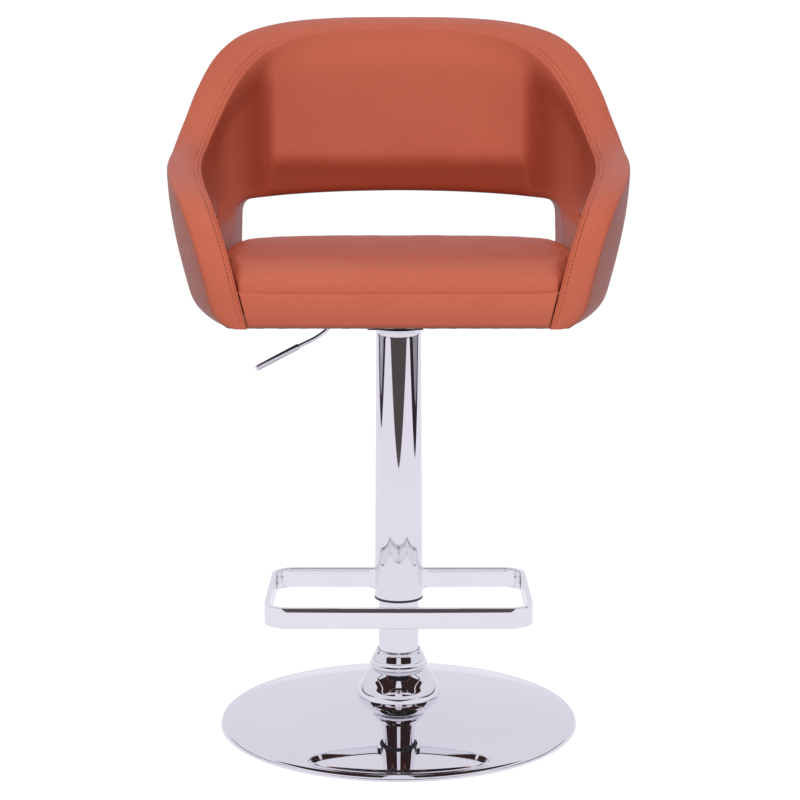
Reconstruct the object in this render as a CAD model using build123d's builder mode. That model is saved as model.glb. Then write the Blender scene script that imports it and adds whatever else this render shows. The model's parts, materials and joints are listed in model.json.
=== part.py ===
from build123d import *
from math import cos, exp, hypot, radians, sin, sqrt
import os

# Swivel bar stool: weighted floor base, gas lift column, ring footrest and an upholstered bucket seat.
# Millimetres. The origin is on the floor at the column's axis, +Z is up, the sitter faces -Y and
# the lift lever is on the -X side. The model stands at its lowest seat height.

os.makedirs("parts", exist_ok=True)

# ---------------------------------------------------------------- driving dimensions
# Clearances
FIT = 0.05  # running fit of a shaft in its bore, on the radius
GAP = 0.1  # axial play between faces that slide on each other
LOOSE = 0.3  # radial room between pieces that only pass each other
SOFT_GAP = 0.5  # between the cushion and the bucket around it

# Floor base
BASE_RADIUS = 225.5
BASE_CROWN = 40.0  # height the dome would reach on the axis
BASE_SHOULDER = 10.0  # height where the dome meets the rolled rim
BASE_RIM = 7.5  # radial width of the rolled rim
BASE_SHEET = 1.5
PAD_HEIGHT = 3.0  # plastic ring that stands on the floor
PAD_WIDTH = 18.0
BALLAST_THICK = 6.0
BALLAST_FLAT = 66.0  # radius of the ballast's flat middle
BALLAST_FOOT = 11.0  # radial width of the ballast's outer foot
BELL_ROOM = 7.0  # bell's neck outside the tube
BELL_SPREAD = 21.5  # bell's foot outside its neck
BELL_TOP = 73.0
COLLAR_WALL = 3.0
COLLAR_SPREAD = 8.4  # collar's lip outside its neck
COLLAR_LIP_HEIGHT = 9.0
COLLAR_TOP = 96.0

# Outer column
TUBE_RADIUS = 25.0
TUBE_WALL = 1.5
TUBE_BOTTOM = 20.0
TUBE_TOP = 400.0
FLANGE_RADIUS = 60.0
FLANGE_THICK = 5.0
FLANGE_BOLTS = 4
FLANGE_BOLT_CIRCLE = 48.0
END_PLATE_THICK = 4.0
GUIDE_LENGTH = 60.0
GUIDE_LIP = 3.0

# Gas spring
ROD_RADIUS = 5.0
ROD_STUB = 8.0  # length of rod under the end plate
CLIP_THICK = 1.5
CLIP_WIDTH = 4.0
RACE_THICK = 2.0
RACE_WIDTH = 10.0
RACE_ROOM = 1.0  # lower race's bore outside the rod
BALL_RADIUS = 1.95
BALL_GAP = 0.05  # between a ball and the race
BALL_COUNT = 12
CAGE_THICK = 1.6
CAGE_MARGIN = 3.6  # cage width each side of the ball circle
BUFFER_HEIGHT = 28.7
BUFFER_WALL = 7.0
CYLINDER_RADIUS = 14.0
CYLINDER_WALL = 2.0
CYLINDER_LENGTH = 441.0
CYLINDER_TAPER = 1.0  # loss of radius over the tapered top
END_CAP_LENGTH = 15.0
PISTON_LENGTH = 15.0
PISTON_BELOW_END = 2.0
PISTON_ROOM = 27.0  # between piston and end cap at full lift
LIFT = 210.0  # height adjustment

# Valve, hub and lever
VALVE_RADIUS = 4.0
VALVE_STAND = 7.0  # pin above the cylinder's end
VALVE_LENGTH = 24.0
VALVE_TRAVEL = 3.3
HUB_WALL = 4.0
HUB_LENGTH = 36.8
HOUSING_FRONT_ROOM = 12.0  # past the hub, away from the lever
HOUSING_PIVOT_ROOM = 12.0  # past the lever's pivot
HOUSING_SIDE_ROOM = 6.5
HOUSING_WALL = 2.5
HOUSING_FLOOR_DROP = 7.0  # web's underside below the hub's top
PLATE_RISE = 17.5  # seat plate's underside above the hub's top
PLATE_SIDE = 170.0
PLATE_THICK = 2.5
PLATE_CORNER = 18.0
PLATE_BOLT_SPACING = 140.0
PIVOT_ROOM = 8.0  # lever pivot outside the hub
PIVOT_RISE = 2.0  # pivot above the hub's top
PIVOT_PIN = 3.0
PADDLE_WIDTH = 12.0
PADDLE_THICK = 3.0
PADDLE_NOSE = 6.0  # nose past the axis
PADDLE_BOSS = 5.5
PADDLE_SOCKET = 14.0  # length of the boss that holds the rod
LEVER_ROD = 2.5
LEVER_LEVEL = 77.0  # from the axis to the first bend
LEVER_KNEE = (95.0, 17.5)  # out from the axis and down from the pivot
LEVER_TIP = (177.0, 60.5)
LEVER_BEND = 12.0
GRIP_START = (122.0, 31.6)
GRIP_RADIUS = 3.8
GRIP_CAP = 2.0

# Footrest
SLEEVE_BOTTOM = 165.0
SLEEVE_HEAD_ROOM = 0.8  # under the lever housing
SLEEVE_ROOM = 5.0  # sleeve's foot outside the tube
SLEEVE_TAPER = 2.3  # loss of radius up to the sleeve's top
SLEEVE_WALL = 1.2
SLEEVE_RING = 3.0
SLEEVE_RING_LIP = 0.4
SLEEVE_RING_INSERT = 10.0
SLEEVE_BUSH_LENGTH = 20.0
STOP_RING = 1.9
STOP_RING_WIDTH = 4.0
BAR_BOTTOM = 175.5
BAR_HEIGHT = 24.5
BAR_THICK = 6.0
BAR_FRONT = 191.0
BAR_HALF_WIDTH = 158.0
BAR_CORNER = 28.0
BAR_FLARE = 5.0  # weld flare each side of the bar at the sleeve
BAR_FLARE_END = 38.0

# Seat shell: widest outer half width, depth from the axis and the wall of the bucket
SHELL_HALF_WIDTH = 278.0
SHELL_BACK = 240.0
SHELL_FRONT = 240.0
SHELL_HEIGHT = 357.0
SHELL_WALL = 42.0
SHELL_ROUND = 26.0  # rounding of the bottom corner
SHELL_TAPER = 425.0  # front half axis of the plan outline
PLAN_POWER = 2.6  # fullness of the back's plan outline
WIDEST_HEIGHT = 167.0
FOOT_NARROWING = 33.0  # half width lost at the shell's bottom
TOP_NARROWING = 11.0
NARROWING_RISE = 60.0  # height over which the upper narrowing sets in
BACK_LEAN = 30.0
COVER = 1.2
CORE_OUTER = 14.0
CORE_INNER = 24.0
CORE_EDGE = 12.0  # foam over the core's edge
BOARD_THICK = 15.0
BOARD_FRONT_FOAM = 14.0
DUST_COVER = 1.0
WINDOW_HALF_WIDTH = 204.0
WINDOW_RISE = 52.0  # lower edge above the shell's bottom
WINDOW_SIDE_HEIGHT = 72.0
WINDOW_ARCH = 9.0
WINDOW_CORNER = 13.0
WINDOW_BACK_HALF_WIDTH = 188.0  # at the far end of the cutter
WINDOW_START = 60.0  # the cutter starts this far behind the axis
CUSHION_SEAM = 41.0  # front seam above the shell's bottom
CUSHION_CROWN = 77.0
CUSHION_BACK = 70.0
SHELL_SCREW = 2.0
SHELL_SCREW_HEAD = 4.0
SHELL_SCREW_LENGTH = 38.0
SHELL_SCREW_ROWS = (-110.0, 0.0, 110.0)

# Bolts (metric 8)
BOLT = 4.0
BOLT_CLEARANCE = 4.5
HEAD_RADIUS = 6.5
HEAD_HEIGHT = 5.0
WASHER_RADIUS = 8.5
WASHER_THICK = 1.5
TEE_FLANGE = 11.0
TEE_FLANGE_THICK = 1.5
TEE_BARREL = 5.2

# ---------------------------------------------------------------- derived heights
BASE_MEET = BASE_RADIUS - BASE_RIM
DOME_RISE = BASE_CROWN - BASE_SHOULDER
DOME_RADIUS = (BASE_MEET**2 + DOME_RISE**2) / (2 * DOME_RISE)
DOME_CENTRE = BASE_CROWN - DOME_RADIUS


def dome_height(r, depth=0.0):
    """Height of the base's dome at radius r, or of a surface that lies depth inside it."""
    return DOME_CENTRE + sqrt((DOME_RADIUS - depth) ** 2 - r**2)


BALLAST_TOP = dome_height(BALLAST_FLAT, BASE_SHEET)
BALLAST_BOTTOM = BALLAST_TOP - BALLAST_THICK
BELL_NECK = TUBE_RADIUS + BELL_ROOM
BELL_RADIUS = BELL_NECK + BELL_SPREAD
COLLAR_NECK = TUBE_RADIUS + COLLAR_WALL
COLLAR_LIP = COLLAR_NECK + COLLAR_SPREAD
TUBE_INNER = TUBE_RADIUS - TUBE_WALL
CLIP_RADIUS = ROD_RADIUS + CLIP_WIDTH
RACE_BORE = ROD_RADIUS + RACE_ROOM
RACE_RADIUS = RACE_BORE + RACE_WIDTH
BALL_CIRCLE = (RACE_BORE + RACE_RADIUS) / 2
BUFFER_RADIUS = ROD_RADIUS + BUFFER_WALL
RACE_BOTTOM = BALLAST_BOTTOM + END_PLATE_THICK
BALL_HEIGHT = RACE_BOTTOM + RACE_THICK + BALL_GAP + BALL_RADIUS
UPPER_RACE_BOTTOM = BALL_HEIGHT + BALL_RADIUS + BALL_GAP
BUFFER_BOTTOM = UPPER_RACE_BOTTOM + RACE_THICK
CYLINDER_BOTTOM = BUFFER_BOTTOM + BUFFER_HEIGHT + LOOSE
CYLINDER_TOP = CYLINDER_BOTTOM + CYLINDER_LENGTH
CYLINDER_BORE = CYLINDER_RADIUS - CYLINDER_WALL
ROD_BOTTOM = BALLAST_BOTTOM - ROD_STUB
PISTON_BOTTOM = CYLINDER_BOTTOM + LIFT + END_CAP_LENGTH + PISTON_ROOM
ROD_TOP = PISTON_BOTTOM + PISTON_LENGTH + PISTON_BELOW_END
HUB_RADIUS = CYLINDER_RADIUS + HUB_WALL
HUB_TOP = CYLINDER_TOP
HUB_BOTTOM = HUB_TOP - HUB_LENGTH
VALVE_TOP = CYLINDER_TOP + VALVE_STAND
VALVE_BOTTOM = VALVE_TOP - VALVE_LENGTH
VALVE_FLOOR = VALVE_BOTTOM - VALVE_TRAVEL - 2.0
PIVOT_REACH = HUB_RADIUS + PIVOT_ROOM
PIVOT_HEIGHT = HUB_TOP + PIVOT_RISE
PLATE_BOTTOM = HUB_TOP + PLATE_RISE
PLATE_TOP = PLATE_BOTTOM + PLATE_THICK
HOUSING_BOTTOM = HUB_TOP - HOUSING_FLOOR_DROP
HOUSING_LENGTH_FRONT = HUB_RADIUS + HOUSING_FRONT_ROOM
HOUSING_LENGTH_LEVER = PIVOT_REACH + HOUSING_PIVOT_ROOM
HOUSING_HALF_WIDTH = HUB_RADIUS + HOUSING_SIDE_ROOM
SLEEVE_TOP = HOUSING_BOTTOM - SLEEVE_HEAD_ROOM
SLEEVE_RADIUS_BOTTOM = TUBE_RADIUS + SLEEVE_ROOM
SLEEVE_RADIUS_TOP = SLEEVE_RADIUS_BOTTOM - SLEEVE_TAPER
SLEEVE_BUSH_BOTTOM = HUB_BOTTOM - GAP - SLEEVE_BUSH_LENGTH
STOP_RING_RADIUS = CYLINDER_RADIUS + STOP_RING_WIDTH
SHELL_BOTTOM = PLATE_TOP + DUST_COVER
SHELL_TOP = SHELL_BOTTOM + SHELL_HEIGHT
BOARD_TOP = SHELL_BOTTOM + BOARD_THICK
FOAM_TOP = SHELL_BOTTOM + CUSHION_CROWN
REACH = 2 * SHELL_HALF_WIDTH  # long enough to pass through the whole seat

# ---------------------------------------------------------------- seat shape
# Rim line seen from the side: distance back from the axis and height above the shell's bottom,
# from the top of the back over the arm to the foot of the front edge. Depths along the arm are
# shares of the front's depth, and heights along it shares of the shell's height.
RIM = (
    (SHELL_BACK + 12.0, SHELL_HEIGHT + 3.6),
    (SHELL_BACK, SHELL_HEIGHT),
    (SHELL_BACK - 30.0, SHELL_HEIGHT - 11.0),
    (SHELL_BACK - 52.0, SHELL_HEIGHT - 22.0),
    (SHELL_BACK - 80.0, SHELL_HEIGHT * 0.88),
    (SHELL_BACK * 0.454, SHELL_HEIGHT * 0.737),
    (SHELL_BACK * 0.271, SHELL_HEIGHT * 0.613),
    (SHELL_BACK * 0.104, SHELL_HEIGHT * 0.543),
    (-SHELL_FRONT * 0.125, SHELL_HEIGHT * 0.507),
    (-SHELL_FRONT * 0.375, SHELL_HEIGHT * 0.473),
    (-SHELL_FRONT * 0.604, SHELL_HEIGHT * 0.434),
    (-SHELL_FRONT * 0.783, SHELL_HEIGHT * 0.388),
    (-SHELL_FRONT + 22.0, SHELL_HEIGHT * 0.311),
    (-SHELL_FRONT + 5.0, SHELL_HEIGHT * 0.207),
    (-SHELL_FRONT, SHELL_HEIGHT * 0.098),
    (-SHELL_FRONT, 0.0),
)
RIM_START_RUN = 10.0  # slope of the rim line at the top of the back
RIM_START_DROP = 3.0
RIM_CUT = 60.0  # how far the cutter above the rim line reaches past the seat


def corner_inset(height, inset):
    """Inset of the rounded bottom corner at a height, fading out through the wall's thickness."""
    reach = min(height, SHELL_ROUND)
    rounding = SHELL_ROUND - sqrt(SHELL_ROUND**2 - (SHELL_ROUND - reach) ** 2)
    return rounding * max(0.0, 1.0 - inset / SHELL_WALL)


def shell_half_width(height):
    """Outer half width: it swells up to the widest height and eases back to the top."""
    if height < WIDEST_HEIGHT:
        return SHELL_HALF_WIDTH - FOOT_NARROWING * (1.0 - height / WIDEST_HEIGHT) ** 1.6
    rise = (height - WIDEST_HEIGHT) / NARROWING_RISE
    return SHELL_HALF_WIDTH - TOP_NARROWING * (1.0 - exp(-(rise**2)))


def shell_back(height):
    """Depth of the back from the axis: the back leans out towards its top."""
    return SHELL_BACK - BACK_LEAN * max(0.0, 1.0 - height / SHELL_HEIGHT) ** 1.3


def section_heights():
    """Heights of the plan outlines, close together in the rounded corner and wider above it."""
    heights = [share * SHELL_ROUND for share in (0.0, 0.08, 0.27, 0.56, 1.0)]
    step = SHELL_ROUND / 2
    while heights[-1] < SHELL_HEIGHT + 10.0:
        step = min(step + 4.0, 27.0)
        heights.append(heights[-1] + step)
    return heights


def plan_points(half_width, depth):
    """Plan outline from the right front round the back to the left front."""
    right = []
    for y in (-SHELL_FRONT - 30.0, -SHELL_FRONT + 30.0, -150.0, -75.0):
        right.append((half_width * sqrt(1.0 - (y / SHELL_TAPER) ** 2), y))
    for angle in (0.0, 14.0, 28.0, 42.0, 56.0, 72.0):
        x = half_width * cos(radians(angle)) ** (2.0 / PLAN_POWER)
        y = depth * sin(radians(angle)) ** (2.0 / PLAN_POWER)
        right.append((x, y))
    left = [(-x, y) for x, y in reversed(right)]
    return right + [(0.0, depth)] + left


def bucket(inset):
    """Solid whose side is the shell's outer surface moved in by inset, open in front."""
    with BuildPart() as body:
        for height in section_heights():
            step = inset + corner_inset(height, inset)
            points = plan_points(shell_half_width(height) - step, shell_back(height) - step)
            with BuildSketch(Plane.XY.offset(SHELL_BOTTOM + height)):
                with BuildLine():
                    Spline(*points)
                    Line(points[-1], points[0])
                make_face()
        loft()
    return body.part


def rim_points(inset):
    """Rim line moved into the shell by inset, as points of the side view."""
    points = []
    for i, (y, z) in enumerate(RIM):
        before = RIM[max(0, i - 1)]
        after = RIM[min(len(RIM) - 1, i + 1)]
        dy = after[0] - before[0]
        dz = after[1] - before[1]
        length = hypot(dy, dz)
        points.append((y - dz / length * inset, SHELL_BOTTOM + z + dy / length * inset))
    return points


def above_rim(inset):
    """Everything above and in front of the rim line moved in by inset, across the whole seat."""
    points = rim_points(inset)
    front = -SHELL_FRONT - RIM_CUT
    low = SHELL_BOTTOM - RIM_CUT
    high = SHELL_TOP + RIM_CUT
    with BuildPart() as body:
        with BuildSketch(Plane.YZ):
            with BuildLine():
                Spline(*points[:-1], tangents=((-RIM_START_RUN, -RIM_START_DROP), (0.0, -1.0)))
                Polyline(
                    points[-2],
                    (points[-2][0], low),
                    (front, low),
                    (front, high),
                    (points[0][0], high),
                    points[0],
                )
            make_face()
        extrude(amount=REACH, both=True)
    return body.part


def window(growth):
    """Cutter of the opening in the lower back, grown by growth on every side."""
    low = SHELL_BOTTOM + WINDOW_RISE - growth
    side = low + WINDOW_SIDE_HEIGHT + 2 * growth
    stations = ((WINDOW_START, WINDOW_HALF_WIDTH), (SHELL_BACK + WINDOW_START, WINDOW_BACK_HALF_WIDTH))
    with BuildPart() as body:
        for depth, half_width in stations:
            half = half_width + growth
            with BuildSketch(Plane.XZ.offset(-depth)) as opening:
                with BuildLine():
                    Polyline((-half, side), (-half, low), (half, low), (half, side))
                    ThreePointArc((half, side), (0.0, side + WINDOW_ARCH), (-half, side))
                make_face()
                fillet(opening.vertices(), WINDOW_CORNER + growth)
        loft()
    return body.part


def slab(bottom, top):
    """Level layer as wide as the seat."""
    with BuildPart() as body:
        with BuildSketch(Plane.XY.offset(bottom)):
            Rectangle(REACH, REACH)
        extrude(amount=top - bottom)
    return body.part


def bolt_group(points, top, shaft_length):
    """Hex bolts with their heads down, standing at points, heads closed against the height top."""
    with BuildPart() as bolts:
        with BuildSketch(Plane.XY.offset(top - HEAD_HEIGHT)):
            with Locations(*points):
                RegularPolygon(HEAD_RADIUS, 6)
        extrude(amount=HEAD_HEIGHT)
        with BuildSketch(Plane.XY.offset(top)):
            with Locations(*points):
                Circle(BOLT)
        extrude(amount=shaft_length)
    return bolts.part


def circle_points(count, radius, start=0.0):
    """Points spaced evenly on a circle round the column."""
    angles = [radians(start + i * 360.0 / count) for i in range(count)]
    return [(radius * cos(a), radius * sin(a)) for a in angles]


# ================================================================ floor base
dome_hole = TUBE_RADIUS + LOOSE
dome_middle = BASE_MEET / 2
rim_centre = BASE_SHOULDER - BASE_RIM
rim_slope = sqrt(0.5)
with BuildPart() as base_cover:
    with BuildSketch(Plane.XZ):
        with BuildLine():
            outer_top = (dome_hole, dome_height(dome_hole))
            outer_meet = (BASE_MEET, BASE_SHOULDER)
            outer_rim = (BASE_RADIUS, rim_centre)
            inner_rim = (BASE_RADIUS - BASE_SHEET, rim_centre)
            inner_meet = (BASE_MEET, dome_height(BASE_MEET, BASE_SHEET))
            inner_top = (dome_hole, dome_height(dome_hole, BASE_SHEET))
            outer_turn = BASE_RIM * rim_slope
            inner_turn = (BASE_RIM - BASE_SHEET) * rim_slope
            ThreePointArc(outer_top, (dome_middle, dome_height(dome_middle)), outer_meet)
            ThreePointArc(outer_meet, (BASE_MEET + outer_turn, rim_centre + outer_turn), outer_rim)
            Polyline(outer_rim, (BASE_RADIUS, BASE_SHEET), (inner_rim[0], BASE_SHEET), inner_rim)
            ThreePointArc(inner_rim, (BASE_MEET + inner_turn, rim_centre + inner_turn), inner_meet)
            ThreePointArc(inner_meet, (dome_middle, dome_height(dome_middle, BASE_SHEET)), inner_top)
            Line(inner_top, outer_top)
        make_face()
    revolve(axis=Axis.Z)

ballast_rim = BASE_MEET - 2 * BASE_SHEET
ballast_foot = ballast_rim - BALLAST_FOOT
ballast_middle = (BALLAST_FLAT + ballast_rim) / 2
with BuildPart() as base_weight:
    with BuildSketch(Plane.XZ):
        with BuildLine():
            rim_top = (ballast_rim, dome_height(ballast_rim, BASE_SHEET))
            arc_top = (ballast_middle, dome_height(ballast_middle, BASE_SHEET))
            foot_top = (ballast_foot, dome_height(ballast_foot, BASE_SHEET + BALLAST_THICK))
            arc_low = (ballast_middle, dome_height(ballast_middle, BASE_SHEET + BALLAST_THICK))
            flat_top = (BALLAST_FLAT, BALLAST_TOP)
            flat_low = (BALLAST_FLAT, BALLAST_BOTTOM)
            ThreePointArc(rim_top, arc_top, flat_top)
            Polyline(flat_top, (dome_hole, BALLAST_TOP), (dome_hole, BALLAST_BOTTOM), flat_low)
            ThreePointArc(flat_low, arc_low, foot_top)
            Polyline(foot_top, (ballast_foot, PAD_HEIGHT), (ballast_rim, PAD_HEIGHT), rim_top)
        make_face()
    revolve(axis=Axis.Z)
    with Locations(*[(x, y, BALLAST_BOTTOM) for x, y in circle_points(FLANGE_BOLTS, FLANGE_BOLT_CIRCLE, 45.0)]):
        Hole(BOLT)

with BuildPart() as floor_ring:
    with BuildSketch():
        Circle(ballast_rim + BASE_SHEET)
        Circle(ballast_rim + BASE_SHEET - PAD_WIDTH, mode=Mode.SUBTRACT)
    extrude(amount=PAD_HEIGHT)

dome_filled_middle = (dome_middle, dome_height(dome_middle))
with BuildPart() as dome_block:
    with BuildSketch(Plane.XZ):
        with BuildLine():
            ThreePointArc((0.0, BASE_CROWN), dome_filled_middle, (BASE_MEET, BASE_SHOULDER))
            Polyline((BASE_MEET, BASE_SHOULDER), (0.0, BASE_SHOULDER), (0.0, BASE_CROWN))
        make_face()
    revolve(axis=Axis.Z)

bell_edge = dome_height(BELL_RADIUS)
bell_foot = bell_edge - 2 * BASE_SHEET
bell_inside = BELL_RADIUS - BASE_SHEET
bell_ceiling = BELL_TOP - BASE_SHEET
bell_bulge = (BELL_NECK + (BELL_RADIUS - BELL_NECK) * 0.72, bell_edge + (BELL_TOP - bell_edge) * 0.47)
inside_bulge = (bell_bulge[0] - BASE_SHEET, bell_bulge[1] - BASE_SHEET)
with BuildPart() as bell_cover:
    with BuildSketch(Plane.XZ):
        with BuildLine():
            ThreePointArc((BELL_NECK, BELL_TOP), bell_bulge, (BELL_RADIUS, bell_edge))
            Polyline((BELL_RADIUS, bell_edge), (BELL_RADIUS, bell_foot), (bell_inside, bell_foot))
            Line((bell_inside, bell_foot), (bell_inside, bell_edge))
            ThreePointArc((bell_inside, bell_edge), inside_bulge, (BELL_NECK, bell_ceiling))
            Polyline((BELL_NECK, bell_ceiling), (dome_hole, bell_ceiling), (dome_hole, BELL_TOP))
            Line((dome_hole, BELL_TOP), (BELL_NECK, BELL_TOP))
        make_face()
    revolve(axis=Axis.Z)
    add(dome_block.part, mode=Mode.SUBTRACT)

with BuildPart() as collar_ring:
    with BuildSketch(Plane.XZ):
        bore = TUBE_RADIUS + FIT
        Polygon(
            (bore, BELL_TOP),
            (COLLAR_LIP, BELL_TOP),
            (COLLAR_LIP, BELL_TOP + COLLAR_LIP_HEIGHT),
            (COLLAR_NECK + 1.5, COLLAR_TOP - 4.0),
            (COLLAR_NECK, COLLAR_TOP),
            (bore, COLLAR_TOP),
            align=None,
        )
    revolve(axis=Axis.Z)
    fillet(collar_ring.edges().filter_by(GeomType.CIRCLE).group_by(SortBy.RADIUS)[-1], 2.0)

# ================================================================ outer column
with BuildPart() as outer_tube:
    with BuildSketch(Plane.XY.offset(TUBE_BOTTOM)):
        Circle(TUBE_RADIUS)
        Circle(TUBE_INNER, mode=Mode.SUBTRACT)
    extrude(amount=TUBE_TOP - TUBE_BOTTOM)

flange_points = circle_points(FLANGE_BOLTS, FLANGE_BOLT_CIRCLE, 45.0)
with BuildPart() as column_flange:
    with BuildSketch(Plane.XY.offset(BALLAST_BOTTOM - FLANGE_THICK)):
        Circle(FLANGE_RADIUS)
        Circle(TUBE_RADIUS, mode=Mode.SUBTRACT)
        with Locations(*flange_points):
            Circle(BOLT_CLEARANCE, mode=Mode.SUBTRACT)
    extrude(amount=FLANGE_THICK)

washer_top = BALLAST_BOTTOM - FLANGE_THICK
with BuildPart() as flange_washers:
    with BuildSketch(Plane.XY.offset(washer_top - WASHER_THICK)):
        with Locations(*flange_points):
            Circle(WASHER_RADIUS)
            Circle(BOLT_CLEARANCE, mode=Mode.SUBTRACT)
    extrude(amount=WASHER_THICK)

flange_bolts = bolt_group(
    flange_points, washer_top - WASHER_THICK, WASHER_THICK + FLANGE_THICK + BALLAST_THICK
)

with BuildPart() as tube_end_plate:
    with BuildSketch(Plane.XY.offset(BALLAST_BOTTOM)):
        Circle(TUBE_INNER)
        Circle(ROD_RADIUS + FIT, mode=Mode.SUBTRACT)
    extrude(amount=END_PLATE_THICK)

with BuildPart() as guide_bush:
    with BuildSketch(Plane.XY.offset(TUBE_TOP - GUIDE_LENGTH)):
        Circle(TUBE_INNER)
    extrude(amount=GUIDE_LENGTH)
    with BuildSketch(Plane.XY.offset(TUBE_TOP)):
        Circle(TUBE_RADIUS)
    extrude(amount=GUIDE_LIP)
    with Locations((0.0, 0.0, TUBE_TOP)):
        Hole(CYLINDER_RADIUS + FIT)

# ================================================================ swivel bearing
with BuildPart() as lower_race:
    with BuildSketch(Plane.XY.offset(RACE_BOTTOM)):
        Circle(RACE_RADIUS)
        Circle(RACE_BORE, mode=Mode.SUBTRACT)
    extrude(amount=RACE_THICK)

ball_points = circle_points(BALL_COUNT, BALL_CIRCLE)
with BuildPart() as bearing_balls:
    with Locations(*[(x, y, BALL_HEIGHT) for x, y in ball_points]):
        Sphere(BALL_RADIUS)

with BuildPart() as bearing_cage:
    with BuildSketch(Plane.XY.offset(BALL_HEIGHT - CAGE_THICK / 2)):
        Circle(BALL_CIRCLE + CAGE_MARGIN)
        Circle(BALL_CIRCLE - CAGE_MARGIN, mode=Mode.SUBTRACT)
        with Locations(*ball_points):
            Circle(BALL_RADIUS + FIT, mode=Mode.SUBTRACT)
    extrude(amount=CAGE_THICK)

with BuildPart() as upper_race:
    with BuildSketch(Plane.XY.offset(UPPER_RACE_BOTTOM)):
        Circle(RACE_RADIUS)
        Circle(ROD_RADIUS, mode=Mode.SUBTRACT)
    extrude(amount=RACE_THICK)

# ================================================================ gas spring
with BuildPart() as piston_rod:
    with BuildSketch(Plane.XY.offset(ROD_BOTTOM)):
        Circle(ROD_RADIUS)
    extrude(amount=ROD_TOP - ROD_BOTTOM)
    chamfer(piston_rod.edges().group_by(Axis.Z)[0], 1.0)

with BuildPart() as retaining_clip:
    with BuildSketch(Plane.XY.offset(BALLAST_BOTTOM - GAP - CLIP_THICK)):
        Circle(CLIP_RADIUS)
        Circle(ROD_RADIUS, mode=Mode.SUBTRACT)
    extrude(amount=CLIP_THICK)

with BuildPart() as piston:
    with BuildSketch(Plane.XY.offset(PISTON_BOTTOM)):
        Circle(CYLINDER_BORE - FIT)
        Circle(ROD_RADIUS, mode=Mode.SUBTRACT)
    extrude(amount=PISTON_LENGTH)

with BuildPart() as rubber_buffer:
    with BuildSketch(Plane.XY.offset(BUFFER_BOTTOM)):
        Circle(BUFFER_RADIUS)
        Circle(ROD_RADIUS, mode=Mode.SUBTRACT)
    extrude(amount=BUFFER_HEIGHT)

with BuildPart() as pressure_cylinder:
    with BuildSketch(Plane.XY.offset(CYLINDER_BOTTOM)):
        Circle(CYLINDER_RADIUS)
    extrude(amount=HUB_BOTTOM - CYLINDER_BOTTOM)
    with BuildSketch(Plane.XY.offset(HUB_BOTTOM)):
        Circle(CYLINDER_RADIUS)
    with BuildSketch(Plane.XY.offset(CYLINDER_TOP)):
        Circle(CYLINDER_RADIUS - CYLINDER_TAPER)
    loft()
    with BuildSketch(Plane.XY.offset(CYLINDER_BOTTOM)):
        Circle(CYLINDER_BORE)
    extrude(amount=HUB_BOTTOM - CYLINDER_BOTTOM - CYLINDER_WALL, mode=Mode.SUBTRACT)
    with BuildSketch(Plane.XY.offset(VALVE_FLOOR)):
        Circle(VALVE_RADIUS + FIT)
    extrude(amount=CYLINDER_TOP - VALVE_FLOOR, mode=Mode.SUBTRACT)

with BuildPart() as cylinder_end_cap:
    with BuildSketch(Plane.XY.offset(CYLINDER_BOTTOM)):
        Circle(CYLINDER_BORE)
        Circle(ROD_RADIUS + FIT, mode=Mode.SUBTRACT)
    extrude(amount=END_CAP_LENGTH)

with BuildPart() as valve_pin:
    with BuildSketch(Plane.XY.offset(VALVE_BOTTOM)):
        Circle(VALVE_RADIUS)
    extrude(amount=VALVE_LENGTH)
    chamfer(valve_pin.edges().group_by(Axis.Z)[-1], 0.6)

# ================================================================ seat mounting
with BuildPart() as tapered_hub:
    with BuildSketch(Plane.XY.offset(HUB_BOTTOM)):
        Circle(HUB_RADIUS)
    extrude(amount=HUB_LENGTH)
    add(pressure_cylinder.part, mode=Mode.SUBTRACT)
    with BuildSketch(Plane.XY.offset(HUB_BOTTOM)):
        Circle(CYLINDER_RADIUS - CYLINDER_TAPER)
    extrude(amount=HUB_LENGTH, mode=Mode.SUBTRACT)

housing_middle = (HOUSING_LENGTH_FRONT - HOUSING_LENGTH_LEVER) / 2
housing_length = HOUSING_LENGTH_FRONT + HOUSING_LENGTH_LEVER
housing_height = PLATE_BOTTOM - HOUSING_BOTTOM
with BuildPart() as lever_housing:
    with BuildSketch(Plane.XY.offset(HOUSING_BOTTOM)):
        with Locations((housing_middle, 0.0)):
            Rectangle(housing_length, 2 * HOUSING_HALF_WIDTH)
    extrude(amount=housing_height)
    with BuildSketch(Plane.XY.offset(HOUSING_BOTTOM + HOUSING_WALL)):
        with Locations((housing_middle - HOUSING_WALL, 0.0)):
            Rectangle(housing_length, 2 * (HOUSING_HALF_WIDTH - HOUSING_WALL))
    extrude(amount=housing_height, mode=Mode.SUBTRACT)
    with BuildSketch(Plane.XY.offset(HOUSING_BOTTOM)):
        Circle(HUB_RADIUS)
    extrude(amount=HOUSING_WALL, mode=Mode.SUBTRACT)
    with BuildSketch(Plane.XZ.offset(-HOUSING_HALF_WIDTH)):
        with Locations((-PIVOT_REACH, PIVOT_HEIGHT)):
            Circle(PIVOT_PIN)
    extrude(amount=2 * HOUSING_HALF_WIDTH, mode=Mode.SUBTRACT)

plate_bolt_points = [
    (x * PLATE_BOLT_SPACING / 2, y * PLATE_BOLT_SPACING / 2) for x in (-1, 1) for y in (-1, 1)
]
with BuildPart() as seat_plate:
    with BuildSketch(Plane.XY.offset(PLATE_BOTTOM)):
        RectangleRounded(PLATE_SIDE, PLATE_SIDE, PLATE_CORNER)
        with Locations(*plate_bolt_points):
            Circle(BOLT_CLEARANCE, mode=Mode.SUBTRACT)
    extrude(amount=PLATE_THICK)

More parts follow.
